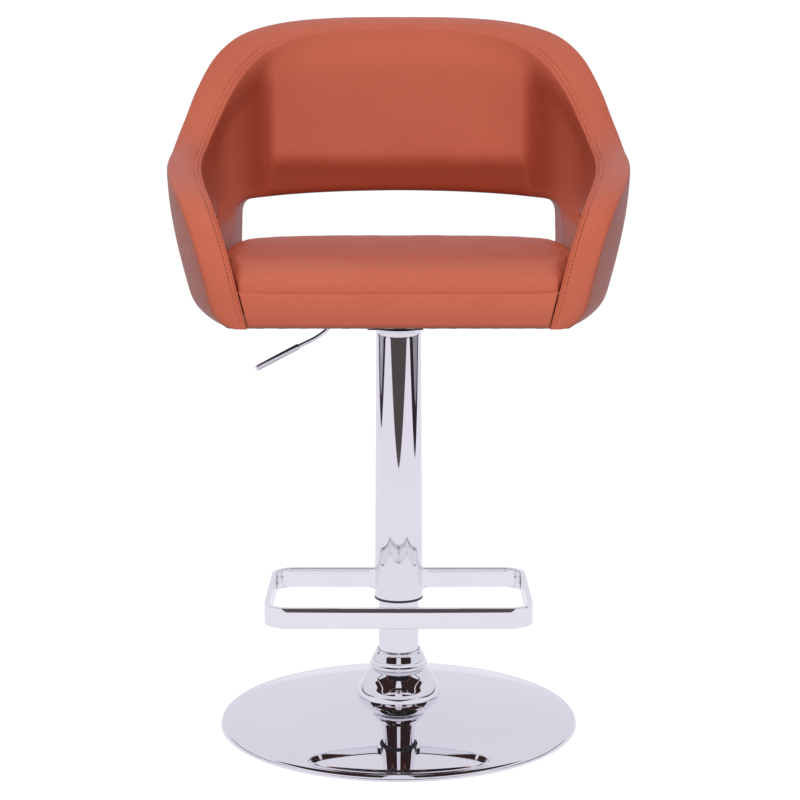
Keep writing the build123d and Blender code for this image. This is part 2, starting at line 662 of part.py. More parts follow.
with BuildPart() as lever_pivot_pin:
    with BuildSketch(Plane.XZ.offset(-HOUSING_HALF_WIDTH)):
        with Locations((-PIVOT_REACH, PIVOT_HEIGHT)):
            Circle(PIVOT_PIN)
    extrude(amount=2 * HOUSING_HALF_WIDTH)

with BuildPart() as plate_washers:
    with BuildSketch(Plane.XY.offset(PLATE_BOTTOM - WASHER_THICK)):
        with Locations(*plate_bolt_points):
            Circle(WASHER_RADIUS)
            Circle(BOLT_CLEARANCE, mode=Mode.SUBTRACT)
    extrude(amount=WASHER_THICK)

plate_bolts = bolt_group(
    plate_bolt_points,
    PLATE_BOTTOM - WASHER_THICK,
    WASHER_THICK + PLATE_THICK + DUST_COVER + BOARD_THICK - 2.0,
)

# ================================================================ lift lever
paddle_top = VALVE_TOP + GAP + PADDLE_THICK
with BuildPart() as lever_paddle:
    with BuildSketch(Plane.XZ.offset(-PADDLE_WIDTH / 2)) as paddle_side:
        with Locations((-PIVOT_REACH, PIVOT_HEIGHT)):
            Circle(PADDLE_BOSS)
        with Locations((-PIVOT_REACH - PADDLE_SOCKET / 2, PIVOT_HEIGHT)):
            Rectangle(PADDLE_SOCKET, 2 * PADDLE_BOSS)
        Polygon(
            (-PIVOT_REACH, PIVOT_HEIGHT),
            (-PIVOT_REACH + PADDLE_BOSS, PIVOT_HEIGHT + 1.0),
            (-HUB_RADIUS + PADDLE_THICK, VALVE_TOP + GAP),
            (PADDLE_NOSE, VALVE_TOP + GAP),
            (PADDLE_NOSE, paddle_top),
            (-PIVOT_REACH, paddle_top),
            align=None,
        )
    extrude(amount=PADDLE_WIDTH)
    with BuildSketch(Plane.XZ.offset(-PADDLE_WIDTH / 2)):
        with Locations((-PIVOT_REACH, PIVOT_HEIGHT)):
            Circle(PIVOT_PIN + FIT)
    extrude(amount=PADDLE_WIDTH, mode=Mode.SUBTRACT)
    with BuildSketch(Plane.YZ.offset(-PIVOT_REACH - PADDLE_SOCKET)):
        with Locations((0.0, PIVOT_HEIGHT)):
            Circle(LEVER_ROD)
    extrude(amount=PADDLE_SOCKET - PADDLE_BOSS, mode=Mode.SUBTRACT)

rod_start = (-PIVOT_REACH - PADDLE_BOSS, PIVOT_HEIGHT)
rod_level = (-LEVER_LEVEL, PIVOT_HEIGHT)
rod_knee = (-LEVER_KNEE[0], PIVOT_HEIGHT - LEVER_KNEE[1])
grip_end = (-LEVER_TIP[0], PIVOT_HEIGHT - LEVER_TIP[1])
grip_start = (-GRIP_START[0], PIVOT_HEIGHT - GRIP_START[1])
grip_length = hypot(grip_end[0] - grip_start[0], grip_end[1] - grip_start[1])
grip_run = ((grip_end[0] - grip_start[0]) / grip_length, (grip_end[1] - grip_start[1]) / grip_length)
rod_end = (grip_end[0] - GRIP_CAP * grip_run[0], grip_end[1] - GRIP_CAP * grip_run[1])
with BuildPart() as lever_rod:
    with BuildLine(Plane.XZ):
        FilletPolyline(rod_start, rod_level, rod_knee, grip_start, radius=LEVER_BEND)
        Line(grip_start, rod_end)
    with BuildSketch(Plane.YZ.offset(rod_start[0])):
        with Locations((0.0, PIVOT_HEIGHT)):
            Circle(LEVER_ROD)
    sweep()

grip_plane = Plane(
    origin=(grip_start[0], 0.0, grip_start[1]), x_dir=(0, 1, 0), z_dir=(grip_run[0], 0.0, grip_run[1])
)
with BuildPart() as lever_grip:
    with BuildSketch(grip_plane):
        Circle(GRIP_RADIUS)
    extrude(amount=grip_length)
    fillet(lever_grip.edges().sort_by(Axis.X)[0], GRIP_CAP - 0.2)
    add(lever_rod.part, mode=Mode.SUBTRACT)

# ================================================================ footrest
def sleeve_radius(z):
    """Outer radius of the conical sleeve at a height."""
    share = (z - SLEEVE_BOTTOM) / (SLEEVE_TOP - SLEEVE_BOTTOM)
    return SLEEVE_RADIUS_BOTTOM + share * (SLEEVE_RADIUS_TOP - SLEEVE_RADIUS_BOTTOM)


def cone(bottom, top, inset):
    """Frustum inside the sleeve's outer surface, moved in by inset."""
    with BuildPart() as body:
        with BuildSketch(Plane.XY.offset(bottom)):
            Circle(sleeve_radius(bottom) - inset)
        with BuildSketch(Plane.XY.offset(top)):
            Circle(sleeve_radius(top) - inset)
        loft()
    return body.part


with BuildPart() as cover_sleeve:
    add(cone(SLEEVE_BOTTOM, SLEEVE_TOP, 0.0))
    add(cone(SLEEVE_BOTTOM, SLEEVE_TOP, SLEEVE_WALL), mode=Mode.SUBTRACT)

with BuildPart() as sleeve_end_ring:
    with BuildSketch(Plane.XY.offset(SLEEVE_BOTTOM - SLEEVE_RING)):
        Circle(SLEEVE_RADIUS_BOTTOM + SLEEVE_RING_LIP)
    extrude(amount=SLEEVE_RING)
    add(cone(SLEEVE_BOTTOM, SLEEVE_BOTTOM + SLEEVE_RING_INSERT, SLEEVE_WALL))
    with Locations((0.0, 0.0, SLEEVE_BOTTOM)):
        Hole(TUBE_RADIUS + LOOSE)

with BuildPart() as sleeve_top_bush:
    add(cone(SLEEVE_BUSH_BOTTOM, SLEEVE_BUSH_BOTTOM + SLEEVE_BUSH_LENGTH, SLEEVE_WALL))
    with Locations((0.0, 0.0, SLEEVE_BUSH_BOTTOM)):
        Hole(CYLINDER_RADIUS + FIT)

with BuildPart() as sleeve_stop_ring:
    with BuildSketch(Plane.XY.offset(SLEEVE_BUSH_BOTTOM - GAP - STOP_RING)):
        Circle(STOP_RING_RADIUS)
        Circle(CYLINDER_RADIUS, mode=Mode.SUBTRACT)
    extrude(amount=STOP_RING)

bar_depth = BAR_FRONT + BAR_THICK / 2
bar_middle = (BAR_THICK / 2 - BAR_FRONT) / 2
flare_reach = BAR_THICK / 2 + BAR_FLARE
with BuildPart() as footrest_bar:
    with BuildSketch(Plane.XY.offset(BAR_BOTTOM)):
        with Locations((0.0, bar_middle)):
            RectangleRounded(2 * BAR_HALF_WIDTH, bar_depth, BAR_CORNER)
            RectangleRounded(
                2 * (BAR_HALF_WIDTH - BAR_THICK),
                bar_depth - 2 * BAR_THICK,
                BAR_CORNER - BAR_THICK,
                mode=Mode.SUBTRACT,
            )
        Polygon(
            (BAR_FLARE_END, BAR_THICK / 2),
            (0.0, SLEEVE_RADIUS_TOP / 2),
            (-BAR_FLARE_END, BAR_THICK / 2),
            (-BAR_FLARE_END, -BAR_THICK / 2),
            (0.0, -SLEEVE_RADIUS_TOP / 2),
            (BAR_FLARE_END, -BAR_THICK / 2),
            align=None,
        )
    extrude(amount=BAR_HEIGHT)
    add(cone(SLEEVE_BOTTOM, SLEEVE_TOP, 0.0), mode=Mode.SUBTRACT)

# ================================================================ seat
skin_outside = bucket(0.0)
skin_inside = bucket(COVER)
core_outside = bucket(CORE_OUTER)
core_inside = bucket(CORE_INNER)
lining_outside = bucket(SHELL_WALL - COVER)
lining_inside = bucket(SHELL_WALL)
cushion_outside = bucket(SHELL_WALL + SOFT_GAP)
rim_cut = above_rim(0.0)
band_cut = above_rim(COVER)
core_cut = above_rim(CORE_EDGE)
window_opening = window(0.0)
window_lining = window(COVER)
core_window = window(CORE_EDGE)
board_layer = slab(SHELL_BOTTOM, BOARD_TOP)


def side_block(points):
    """Side view outline carried across the whole width of the seat."""
    with BuildPart() as body:
        with BuildSketch(Plane.YZ):
            Polygon(*points, align=None)
        extrude(amount=REACH, both=True)
    return body.part


board_front = -SHELL_FRONT + BOARD_FRONT_FOAM
behind_board_front = side_block(
    ((board_front, SHELL_BOTTOM), (REACH, SHELL_BOTTOM), (REACH, BOARD_TOP), (board_front, BOARD_TOP))
)
tee_points = [(x, y, BOARD_TOP) for x, y in plate_bolt_points]
with BuildPart() as tee_nuts:
    with BuildSketch(Plane.XY.offset(BOARD_TOP - TEE_FLANGE_THICK)):
        with Locations(*plate_bolt_points):
            Circle(TEE_FLANGE)
    extrude(amount=TEE_FLANGE_THICK)
    with BuildSketch(Plane.XY.offset(SHELL_BOTTOM + 2.0)):
        with Locations(*plate_bolt_points):
            Circle(TEE_BARREL)
    extrude(amount=BOARD_THICK - TEE_FLANGE_THICK - 2.0)
    with Locations(*tee_points):
        Hole(BOLT)

screw_height = SHELL_BOTTOM + BOARD_THICK / 2
screw_inset = CORE_OUTER + corner_inset(BOARD_THICK / 2, CORE_OUTER) + SHELL_SCREW_HEAD
screw_sides = (-1.0, 1.0)


def screw_foot(y):
    """Distance from the axis to the sunk head of a shell screw at a depth."""
    half_width = shell_half_width(BOARD_THICK / 2) - screw_inset
    if y < 0.0:
        return half_width * sqrt(1.0 - (y / SHELL_TAPER) ** 2)
    depth = shell_back(BOARD_THICK / 2) - screw_inset
    return half_width * (1.0 - (y / depth) ** PLAN_POWER) ** (1.0 / PLAN_POWER)


with BuildPart() as shell_screws:
    for y in SHELL_SCREW_ROWS:
        for side in screw_sides:
            head = Plane(origin=(side * screw_foot(y), y, screw_height), z_dir=(-side, 0, 0))
            with BuildSketch(head):
                Circle(SHELL_SCREW_HEAD)
            extrude(amount=SHELL_SCREW_HEAD / 2)
            with BuildSketch(head):
                Circle(SHELL_SCREW)
            extrude(amount=SHELL_SCREW_LENGTH)

board_blank = core_inside & board_layer & behind_board_front
with BuildPart() as seat_board:
    add(board_blank)
    with BuildSketch(Plane.XY.offset(SHELL_BOTTOM)):
        with Locations(*plate_bolt_points):
            Circle(TEE_BARREL)
    extrude(amount=BOARD_THICK, mode=Mode.SUBTRACT)
    add(tee_nuts.part, mode=Mode.SUBTRACT)
    add(shell_screws.part, mode=Mode.SUBTRACT)

with BuildPart() as shell_core:
    add(core_outside)
    add(core_inside, mode=Mode.SUBTRACT)
    add(core_cut, mode=Mode.SUBTRACT)
    add(core_window, mode=Mode.SUBTRACT)
    add(shell_screws.part, mode=Mode.SUBTRACT)

with BuildPart() as shell_foam:
    add(skin_inside)
    add(lining_outside, mode=Mode.SUBTRACT)
    add(band_cut, mode=Mode.SUBTRACT)
    add(window_lining, mode=Mode.SUBTRACT)
    add(shell_core.part, mode=Mode.SUBTRACT)
    add(board_blank, mode=Mode.SUBTRACT)
    add(shell_screws.part, mode=Mode.SUBTRACT)

with BuildPart() as outer_cover:
    add(skin_outside)
    add(skin_inside, mode=Mode.SUBTRACT)
    add(band_cut, mode=Mode.SUBTRACT)
    add(window_lining, mode=Mode.SUBTRACT)

with BuildPart() as inner_cover:
    add(lining_outside)
    add(lining_inside, mode=Mode.SUBTRACT)
    add(band_cut, mode=Mode.SUBTRACT)
    add(window_lining, mode=Mode.SUBTRACT)
    add(board_blank, mode=Mode.SUBTRACT)

with BuildPart() as border_band:
    add(skin_outside)
    add(lining_inside, mode=Mode.SUBTRACT)
    add(rim_cut, mode=Mode.SUBTRACT)
    add(band_cut, mode=Mode.INTERSECT)
    add(window_lining, mode=Mode.SUBTRACT)

with BuildPart() as window_border:
    add(skin_outside)
    add(lining_inside, mode=Mode.SUBTRACT)
    add(band_cut, mode=Mode.SUBTRACT)
    add(window_lining, mode=Mode.INTERSECT)
    add(window_opening, mode=Mode.SUBTRACT)

cushion_front = -SHELL_FRONT + COVER
cushion_seam = SHELL_BOTTOM + CUSHION_SEAM


def cushion_block(depth):
    """Side view of the seat cushion, its faces moved in by depth."""
    front = cushion_front + depth
    seam = cushion_seam - depth
    crown = FOAM_TOP - depth
    rear = SHELL_BOTTOM + CUSHION_BACK - depth
    with BuildPart() as body:
        with BuildSketch(Plane.YZ):
            with BuildLine():
                Spline(
                    (front, seam),
                    (front + 50.0, crown - 8.5),
                    (0.0, crown),
                    (SHELL_BACK, rear),
                    tangents=((0.55, 1.0), (1.0, -0.06)),
                )
                Polyline((SHELL_BACK, rear), (SHELL_BACK, SHELL_BOTTOM), (front, SHELL_BOTTOM), (front, seam))
            make_face()
        extrude(amount=REACH, both=True)
    return body.part


cushion_top = cushion_block(0.0)
cushion_under = cushion_block(COVER)
above_seam = slab(cushion_seam, SHELL_TOP)
with BuildPart() as seat_foam:
    add(cushion_outside)
    add(cushion_under, mode=Mode.INTERSECT)
    add(behind_board_front, mode=Mode.SUBTRACT)

with BuildPart() as seat_top_cover:
    add(cushion_outside)
    add(cushion_top, mode=Mode.INTERSECT)
    add(cushion_under, mode=Mode.SUBTRACT)
    add(above_seam, mode=Mode.INTERSECT)

with BuildPart() as seat_front_band:
    add(cushion_outside)
    add(cushion_top, mode=Mode.INTERSECT)
    add(cushion_under, mode=Mode.SUBTRACT)
    add(above_seam, mode=Mode.SUBTRACT)

board_slice = core_inside & slab(SHELL_BOTTOM, SHELL_BOTTOM + DUST_COVER) & behind_board_front
with BuildPart() as dust_cover:
    with Locations((0.0, 0.0, -DUST_COVER)):
        add(board_slice)
    with BuildSketch(Plane.XY.offset(PLATE_TOP)):
        with Locations(*plate_bolt_points):
            Circle(BOLT_CLEARANCE)
    extrude(amount=DUST_COVER, mode=Mode.SUBTRACT)

# ================================================================ files
PIECES = {
    "base_cover": base_cover.part,
    "base_weight": base_weight.part,
    "floor_ring": floor_ring.part,
    "bell_cover": bell_cover.part,
    "collar_ring": collar_ring.part,
    "outer_tube": outer_tube.part,
    "column_flange": column_flange.part,
    "flange_washers": flange_washers.part,
    "flange_bolts": flange_bolts,
    "tube_end_plate": tube_end_plate.part,
    "guide_bush": guide_bush.part,
    "lower_race": lower_race.part,
    "bearing_balls": bearing_balls.part,
    "bearing_cage": bearing_cage.part,
    "upper_race": upper_race.part,
    "piston_rod": piston_rod.part,
    "retaining_clip": retaining_clip.part,
    "piston": piston.part,
    "rubber_buffer": rubber_buffer.part,
    "pressure_cylinder": pressure_cylinder.part,
    "cylinder_end_cap": cylinder_end_cap.part,
    "valve_pin": valve_pin.part,
    "tapered_hub": tapered_hub.part,
    "lever_housing": lever_housing.part,
    "seat_plate": seat_plate.part,
    "lever_pivot_pin": lever_pivot_pin.part,
    "plate_washers": plate_washers.part,
    "plate_bolts": plate_bolts,
    "lever_paddle": lever_paddle.part,
    "lever_rod": lever_rod.part,
    "lever_grip": lever_grip.part,
    "cover_sleeve": cover_sleeve.part,
    "sleeve_end_ring": sleeve_end_ring.part,
    "sleeve_top_bush": sleeve_top_bush.part,
    "sleeve_stop_ring": sleeve_stop_ring.part,
    "footrest_bar": footrest_bar.part,
    "tee_nuts": tee_nuts.part,
    "shell_screws": shell_screws.part,
    "seat_board": seat_board.part,
    "shell_core": shell_core.part,
    "shell_foam": shell_foam.part,
    "outer_cover": outer_cover.part,
    "inner_cover": inner_cover.part,
    "border_band": border_band.part,
    "window_border": window_border.part,
    "seat_foam": seat_foam.part,
    "seat_top_cover": seat_top_cover.part,
    "seat_front_band": seat_front_band.part,
    "dust_cover": dust_cover.part,
}
for name, piece in PIECES.items():
    piece.label = name
    export_step(piece, f"parts/{name}.step")
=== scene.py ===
import json
import logging
import math
from dataclasses import dataclass
from enum import Enum
from typing import Callable, Optional, Sequence

import bpy
import numpy as np
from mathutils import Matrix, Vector, noise


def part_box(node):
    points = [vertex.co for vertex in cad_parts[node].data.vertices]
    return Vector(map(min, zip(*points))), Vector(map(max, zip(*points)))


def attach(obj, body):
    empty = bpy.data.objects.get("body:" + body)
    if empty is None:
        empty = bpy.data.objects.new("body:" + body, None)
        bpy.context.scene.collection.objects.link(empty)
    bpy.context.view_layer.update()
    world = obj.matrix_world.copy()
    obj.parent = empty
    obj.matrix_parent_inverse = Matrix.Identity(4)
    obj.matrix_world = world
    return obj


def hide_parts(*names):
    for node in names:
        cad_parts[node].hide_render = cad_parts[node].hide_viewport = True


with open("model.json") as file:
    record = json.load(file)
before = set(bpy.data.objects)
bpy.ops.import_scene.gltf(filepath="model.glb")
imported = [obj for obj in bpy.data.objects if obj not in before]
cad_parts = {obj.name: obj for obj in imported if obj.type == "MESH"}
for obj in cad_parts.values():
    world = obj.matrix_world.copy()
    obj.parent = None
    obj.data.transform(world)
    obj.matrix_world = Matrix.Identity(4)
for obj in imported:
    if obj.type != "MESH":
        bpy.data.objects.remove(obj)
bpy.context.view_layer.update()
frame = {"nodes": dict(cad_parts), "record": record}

LOG = logging.getLogger("bar_stool")
MM = 0.001
# Segments round a turned piece: the floor base, most pieces, the slim ones.
WIDE_TURN, PLAIN_TURN, NARROW_TURN = 256, 192, 160
Point = tuple[float, float, float]
Ring = tuple[float, float]
Colour = tuple[float, float, float]


class Side(Enum):
    """Left and right as the sitter's audience sees the stool, as the sign of X."""

    LEFT = -1.0
    RIGHT = 1.0


# ------------------------------------------------------------------ shader groups
def new_group(name: str, inputs: Sequence[tuple], outputs: Sequence[tuple]) -> tuple:
    """Start a shader node group with named sockets.

    Args:
        name: Name of the group.
        inputs: Name, socket type and default of each input; a default of None is left alone.
        outputs: Name and socket type of each output.

    Returns:
        The node tree, its input node and its output node.
    """
    tree = bpy.data.node_groups.new(name, "ShaderNodeTree")
    for label, kind, default in inputs:
        socket = tree.interface.new_socket(name=label, in_out="INPUT", socket_type=kind)
        if default is not None:
            socket.default_value = default
    for label, kind in outputs:
        tree.interface.new_socket(name=label, in_out="OUTPUT", socket_type=kind)
    return tree, tree.nodes.new("NodeGroupInput"), tree.nodes.new("NodeGroupOutput")


class Wiring:
    """Short ways to add and join nodes in one node tree."""

    def __init__(self, tree: bpy.types.NodeTree) -> None:
        """Work on the given tree."""
        self.tree = tree

    def link(self, source: object, target: object) -> None:
        """Join an output socket to an input socket."""
        self.tree.links.new(source, target)

    def feed(self, socket: object, value: object) -> None:
        """Link a socket to another one, or set its value."""
        if isinstance(value, bpy.types.NodeSocket):
            self.link(value, socket)
        else:
            socket.default_value = value

    def noise(self, vector: object, scale: object, detail: float = 3.0, rough: float = 0.5) -> object:
        """Add a noise texture and return its value socket."""
        node = self.tree.nodes.new("ShaderNodeTexNoise")
        self.feed(node.inputs["Vector"], vector)
        self.feed(node.inputs["Scale"], scale)
        node.inputs["Detail"].default_value = detail
        node.inputs["Roughness"].default_value = rough
        return node.outputs["Fac"]

    def cells(self, vector: object, scale: object, feature: str) -> object:
        """Add a Voronoi texture and return its distance socket."""
        node = self.tree.nodes.new("ShaderNodeTexVoronoi")
        node.feature = feature
        self.feed(node.inputs["Vector"], vector)
        self.feed(node.inputs["Scale"], scale)
        return node.outputs["Distance"]

    def math(self, operation: str, first: object, second: object = 0.0) -> object:
        """Add a math node and return its value socket."""
        node = self.tree.nodes.new("ShaderNodeMath")
        node.operation = operation
        self.feed(node.inputs[0], first)
        self.feed(node.inputs[1], second)
        return node.outputs[0]

    def remap(self, value: object, low: float, high: float, out_low: object, out_high: object) -> object:
        """Add a clamped map range node and return its result."""
        node = self.tree.nodes.new("ShaderNodeMapRange")
        self.feed(node.inputs["Value"], value)
        node.inputs["From Min"].default_value = low
        node.inputs["From Max"].default_value = high
        self.feed(node.inputs["To Min"], out_low)
        self.feed(node.inputs["To Max"], out_high)
        return node.outputs["Result"]

    def stretch(self, vector: object, scale: Point) -> object:
        """Scale a vector unevenly with a mapping node."""
        node = self.tree.nodes.new("ShaderNodeMapping")
        self.link(vector, node.inputs["Vector"])
        node.inputs["Scale"].default_value = scale
        return node.outputs["Vector"]

    def mix(self, factor: object, first: object, second: object) -> object:
        """Add a colour mix node and return its colour."""
        node = self.tree.nodes.new("ShaderNodeMix")
        node.data_type = "RGBA"
        self.feed(node.inputs[0], factor)
        self.feed(node.inputs[6], first if isinstance(first, bpy.types.NodeSocket) else (*first, 1.0))
        self.feed(node.inputs[7], second if isinstance(second, bpy.types.NodeSocket) else (*second, 1.0))
        return node.outputs[2]

    def bump(self, height: object, strength: float, distance: float) -> object:
        """Add a bump node and return its normal."""
        node = self.tree.nodes.new("ShaderNodeBump")
        node.inputs["Strength"].default_value = strength
        node.inputs["Distance"].default_value = distance
        self.link(height, node.inputs["Height"])
        return node.outputs["Normal"]


def build_polish_group() -> bpy.types.NodeTree:
    """Handling haze and hairline scratches on a polished face, as a roughness."""
    tree, start, end = new_group(
        "polish_wear",
        [
            ("Vector", "NodeSocketVector", None),
            ("Haze Scale", "NodeSocketFloat", 9.0),
            ("Clean", "NodeSocketFloat", 0.03),
            ("Hazy", "NodeSocketFloat", 0.1),
        ],
        [("Roughness", "NodeSocketFloat"), ("Height", "NodeSocketFloat")],
    )
    wire = Wiring(tree)
    vector = start.outputs["Vector"]
    haze = wire.noise(vector, start.outputs["Haze Scale"], 5.0, 0.6)
    smear = wire.remap(haze, 0.48, 0.72, 0.0, 1.0)
    hair = wire.noise(wire.stretch(vector, (60.0, 900.0, 60.0)), 4.0, 2.0)
    scratch = wire.remap(hair, 0.66, 0.74, 0.0, 0.35)
    mask = wire.math("MINIMUM", wire.math("ADD", smear, scratch), 1.0)
    worn = wire.remap(mask, 0.0, 1.0, start.outputs["Clean"], start.outputs["Hazy"])
    wire.link(worn, end.inputs["Roughness"])
    wire.link(wire.noise(vector, 14.0, 1.0), end.inputs["Height"])
    return tree


def build_mottle_group() -> bpy.types.NodeTree:
    """Soft cloudy variation, 0 to 1, on two scales."""
    tree, start, end = new_group(
        "soft_mottle",
        [("Vector", "NodeSocketVector", None), ("Scale", "NodeSocketFloat", 8.0)],
        [("Mask", "NodeSocketFloat"), ("Fine", "NodeSocketFloat")],
    )
    wire = Wiring(tree)
    vector = start.outputs["Vector"]
    broad = wire.noise(vector, start.outputs["Scale"], 3.0)
    wire.link(wire.remap(broad, 0.3, 0.7, 0.0, 1.0), end.inputs["Mask"])
    fine = wire.math("MULTIPLY", start.outputs["Scale"], 23.0)
    wire.link(wire.remap(wire.noise(vector, fine, 2.0), 0.3, 0.7, 0.0, 1.0), end.inputs["Fine"])
    return tree


def build_grain_group() -> bpy.types.NodeTree:
    """Pebbled skin of artificial leather: low rounded cells with fine creases between them."""
    tree, start, end = new_group(
        "vinyl_grain",
        [("Vector", "NodeSocketVector", None), ("Scale", "NodeSocketFloat", 700.0)],
        [("Height", "NodeSocketFloat"), ("Crease", "NodeSocketFloat")],
    )
    wire = Wiring(tree)
    vector, scale = start.outputs["Vector"], start.outputs["Scale"]
    edge = wire.cells(vector, scale, "DISTANCE_TO_EDGE")
    crease = wire.remap(edge, 0.02, 0.22, 1.0, 0.0)
    pore = wire.noise(vector, wire.math("MULTIPLY", scale, 2.2), 2.0)
    broad = wire.noise(vector, wire.math("MULTIPLY", scale, 0.12), 3.0)
    raised = wire.math("SUBTRACT", wire.math("MULTIPLY", pore, 0.25), wire.math("MULTIPLY", crease, 0.6))
    wire.link(wire.math("ADD", raised, wire.math("MULTIPLY", broad, 0.5)), end.inputs["Height"])
    wire.link(crease, end.inputs["Crease"])
    return tree


def build_fibre_group() -> bpy.types.NodeTree:
    """Crossed short fibres of a pressed cloth, or the streaks of wood when the scale is uneven."""
    tree, start, end = new_group(
        "pressed_fibres",
        [("Vector", "NodeSocketVector", None), ("Scale", "NodeSocketFloat", 300.0)],
        [("Height", "NodeSocketFloat")],
    )
    wire = Wiring(tree)
    vector, scale = start.outputs["Vector"], start.outputs["Scale"]
    one = wire.noise(wire.stretch(vector, (1.0, 0.12, 0.4)), scale, 2.0)
    two = wire.noise(wire.stretch(vector, (0.12, 1.0, 0.4)), scale, 2.0)
    wire.link(wire.math("MAXIMUM", one, two), end.inputs["Height"])
    return tree


GROUPS = {
    "polish": build_polish_group(),
    "mottle": build_mottle_group(),
    "grain": build_grain_group(),
    "fibre": build_fibre_group(),
}


# ------------------------------------------------------------------ finishes
class Finish:
    """Base of every finish: makes its material once and hands it out."""

    name: str
    _made: dict[str, bpy.types.Material] = {}

    def material(self) -> bpy.types.Material:
        """The finish's material, built on first use."""
        if self.name not in Finish._made:
            material = bpy.data.materials.new(self.name)
            material.use_nodes = True
            shader = material.node_tree.nodes["Principled BSDF"]
            wire = Wiring(material.node_tree)
            spot = material.node_tree.nodes.new("ShaderNodeTexCoord").outputs["Object"]
            self.wire(wire, shader, spot)
            Finish._made[self.name] = material
        return Finish._made[self.name]

    def wire(self, wire: Wiring, shader: bpy.types.Node, spot: object) -> None:
        """Join the finish's nodes to the shader; each finish has its own."""
        raise NotImplementedError

    def group(self, wire: Wiring, key: str, spot: object, **values: float) -> bpy.types.Node:
        """Place one of the shared groups with this finish's values.

        Args:
            wire: Wiring of the material's tree.
            key: Which shared group.
            spot: Coordinates the pattern lies on.
            values: Inputs by name, with spaces written as underscores.

        Returns:
            The group node.
        """
        node = wire.tree.nodes.new("ShaderNodeGroup")
        node.node_tree = GROUPS[key]
        wire.link(spot, node.inputs["Vector"])
        for label, value in values.items():
            node.inputs[label.replace("_", " ")].default_value = value
        return node


@dataclass(frozen=True)
class Chrome(Finish):
    """Mirror-polished plating with a little handling haze."""

    name: str
    tint: Colour = (0.86, 0.86, 0.89)
    clean: float = 0.02
    hazy: float = 0.07
    haze_scale: float = 11.0

    def wire(self, wire: Wiring, shader: bpy.types.Node, spot: object) -> None:
        """Metal base with roughness from the polish group and a faint ripple of the plate."""
        polish = self.group(wire, "polish", spot, Haze_Scale=self.haze_scale,
                            Clean=self.clean, Hazy=self.hazy)
        cloud = self.group(wire, "mottle", spot, Scale=5.0)
        duller = tuple(c * 0.96 for c in self.tint)
        wire.link(wire.mix(cloud.outputs["Mask"], self.tint, duller), shader.inputs["Base Color"])
        shader.inputs["Metallic"].default_value = 1.0
        wire.link(polish.outputs["Roughness"], shader.inputs["Roughness"])
        wire.link(wire.bump(polish.outputs["Height"], 0.03, 0.0008), shader.inputs["Normal"])


@dataclass(frozen=True)
class Vinyl(Finish):
    """Smooth artificial leather with a faint sheen."""

    name: str
    colour: Colour
    deeper: Colour
    # Painted shade colour, mixed in where the shell's stored mask marks the bucket's inner corners.
    painted_shade: Colour
    grain_scale: float = 900.0
    roughness: float = 0.46

    def wire(self, wire: Wiring, shader: bpy.types.Node, spot: object) -> None:
        """Cloudy colour, darker creases in the grain, painted shade from a stored point mask in the bucket's
        inner corners, and a small change of gloss.
        """
        cloud = self.group(wire, "mottle", spot, Scale=7.0)
        grain = self.group(wire, "grain", spot, Scale=self.grain_scale)
        shade = wire.math("ADD", wire.math("MULTIPLY", cloud.outputs["Mask"], 0.28),
                          wire.math("MULTIPLY", grain.outputs["Crease"], 0.3))
        painted_shade_mask = wire.tree.nodes.new("ShaderNodeAttribute")
        painted_shade_mask.attribute_name = "painted_shade_mask"
        leather = wire.mix(shade, self.colour, self.deeper)
        # Painted shade: the stored point mask darkens the vinyl towards its painted shade colour.
        painted_shade = wire.math("MULTIPLY", painted_shade_mask.outputs["Fac"], 0.85)
        wire.link(wire.mix(painted_shade, leather, self.painted_shade), shader.inputs["Base Color"])
        gloss = wire.remap(cloud.outputs["Fine"], 0.0, 1.0, self.roughness - 0.04, self.roughness + 0.05)
        wire.link(gloss, shader.inputs["Roughness"])
        shader.inputs["Specular IOR Level"].default_value = 0.32
        wire.link(wire.bump(grain.outputs["Height"], 0.22, 0.0003), shader.inputs["Normal"])


@dataclass(frozen=True)
class Coated(Finish):
    """Painted, plated or ground metal, cast iron, plastic or rubber: a solid colour with wear."""

    name: str
    colour: Colour
    metallic: float = 0.0
    roughness: float = 0.4
    patch_scale: float = 30.0
    relief: float = 0.1
    contrast: float = 0.75

    def wire(self, wire: Wiring, shader: bpy.types.Node, spot: object) -> None:
        """Patchy tone, patchy gloss and a fine relief."""
        cloud = self.group(wire, "mottle", spot, Scale=self.patch_scale)
        duller = tuple(c * self.contrast for c in self.colour)
        wire.link(wire.mix(cloud.outputs["Mask"], self.colour, duller), shader.inputs["Base Color"])
        shader.inputs["Metallic"].default_value = self.metallic
        roughest = min(1.0, self.roughness * 1.25)
        rough = wire.remap(cloud.outputs["Fine"], 0.0, 1.0, self.roughness * 0.8, roughest)
        wire.link(rough, shader.inputs["Roughness"])
        wire.link(wire.bump(cloud.outputs["Fine"], self.relief, 0.0004), shader.inputs["Normal"])


@dataclass(frozen=True)
class Fibrous(Finish):
    """Pressed cloth, foam or raw wood, with fibres or streaks."""

    name: str
    colour: Colour
    deeper: Colour
    fibre_scale: float = 300.0
    roughness: float = 0.9

    def wire(self, wire: Wiring, shader: bpy.types.Node, spot: object) -> None:
        """Colour and relief from the fibre group."""
        fibre = self.group(wire, "fibre", spot, Scale=self.fibre_scale)
        cloud = self.group(wire, "mottle", spot, Scale=12.0)
        streak = wire.remap(fibre.outputs["Height"], 0.45, 0.7, 0.0, 1.0)
        wire.link(wire.mix(streak, self.deeper, self.colour), shader.inputs["Base Color"])
        roughest = min(1.0, self.roughness + 0.06)
        rough = wire.remap(cloud.outputs["Mask"], 0.0, 1.0, self.roughness - 0.08, roughest)
        wire.link(rough, shader.inputs["Roughness"])
        wire.link(wire.bump(fibre.outputs["Height"], 0.5, 0.0004), shader.inputs["Normal"])


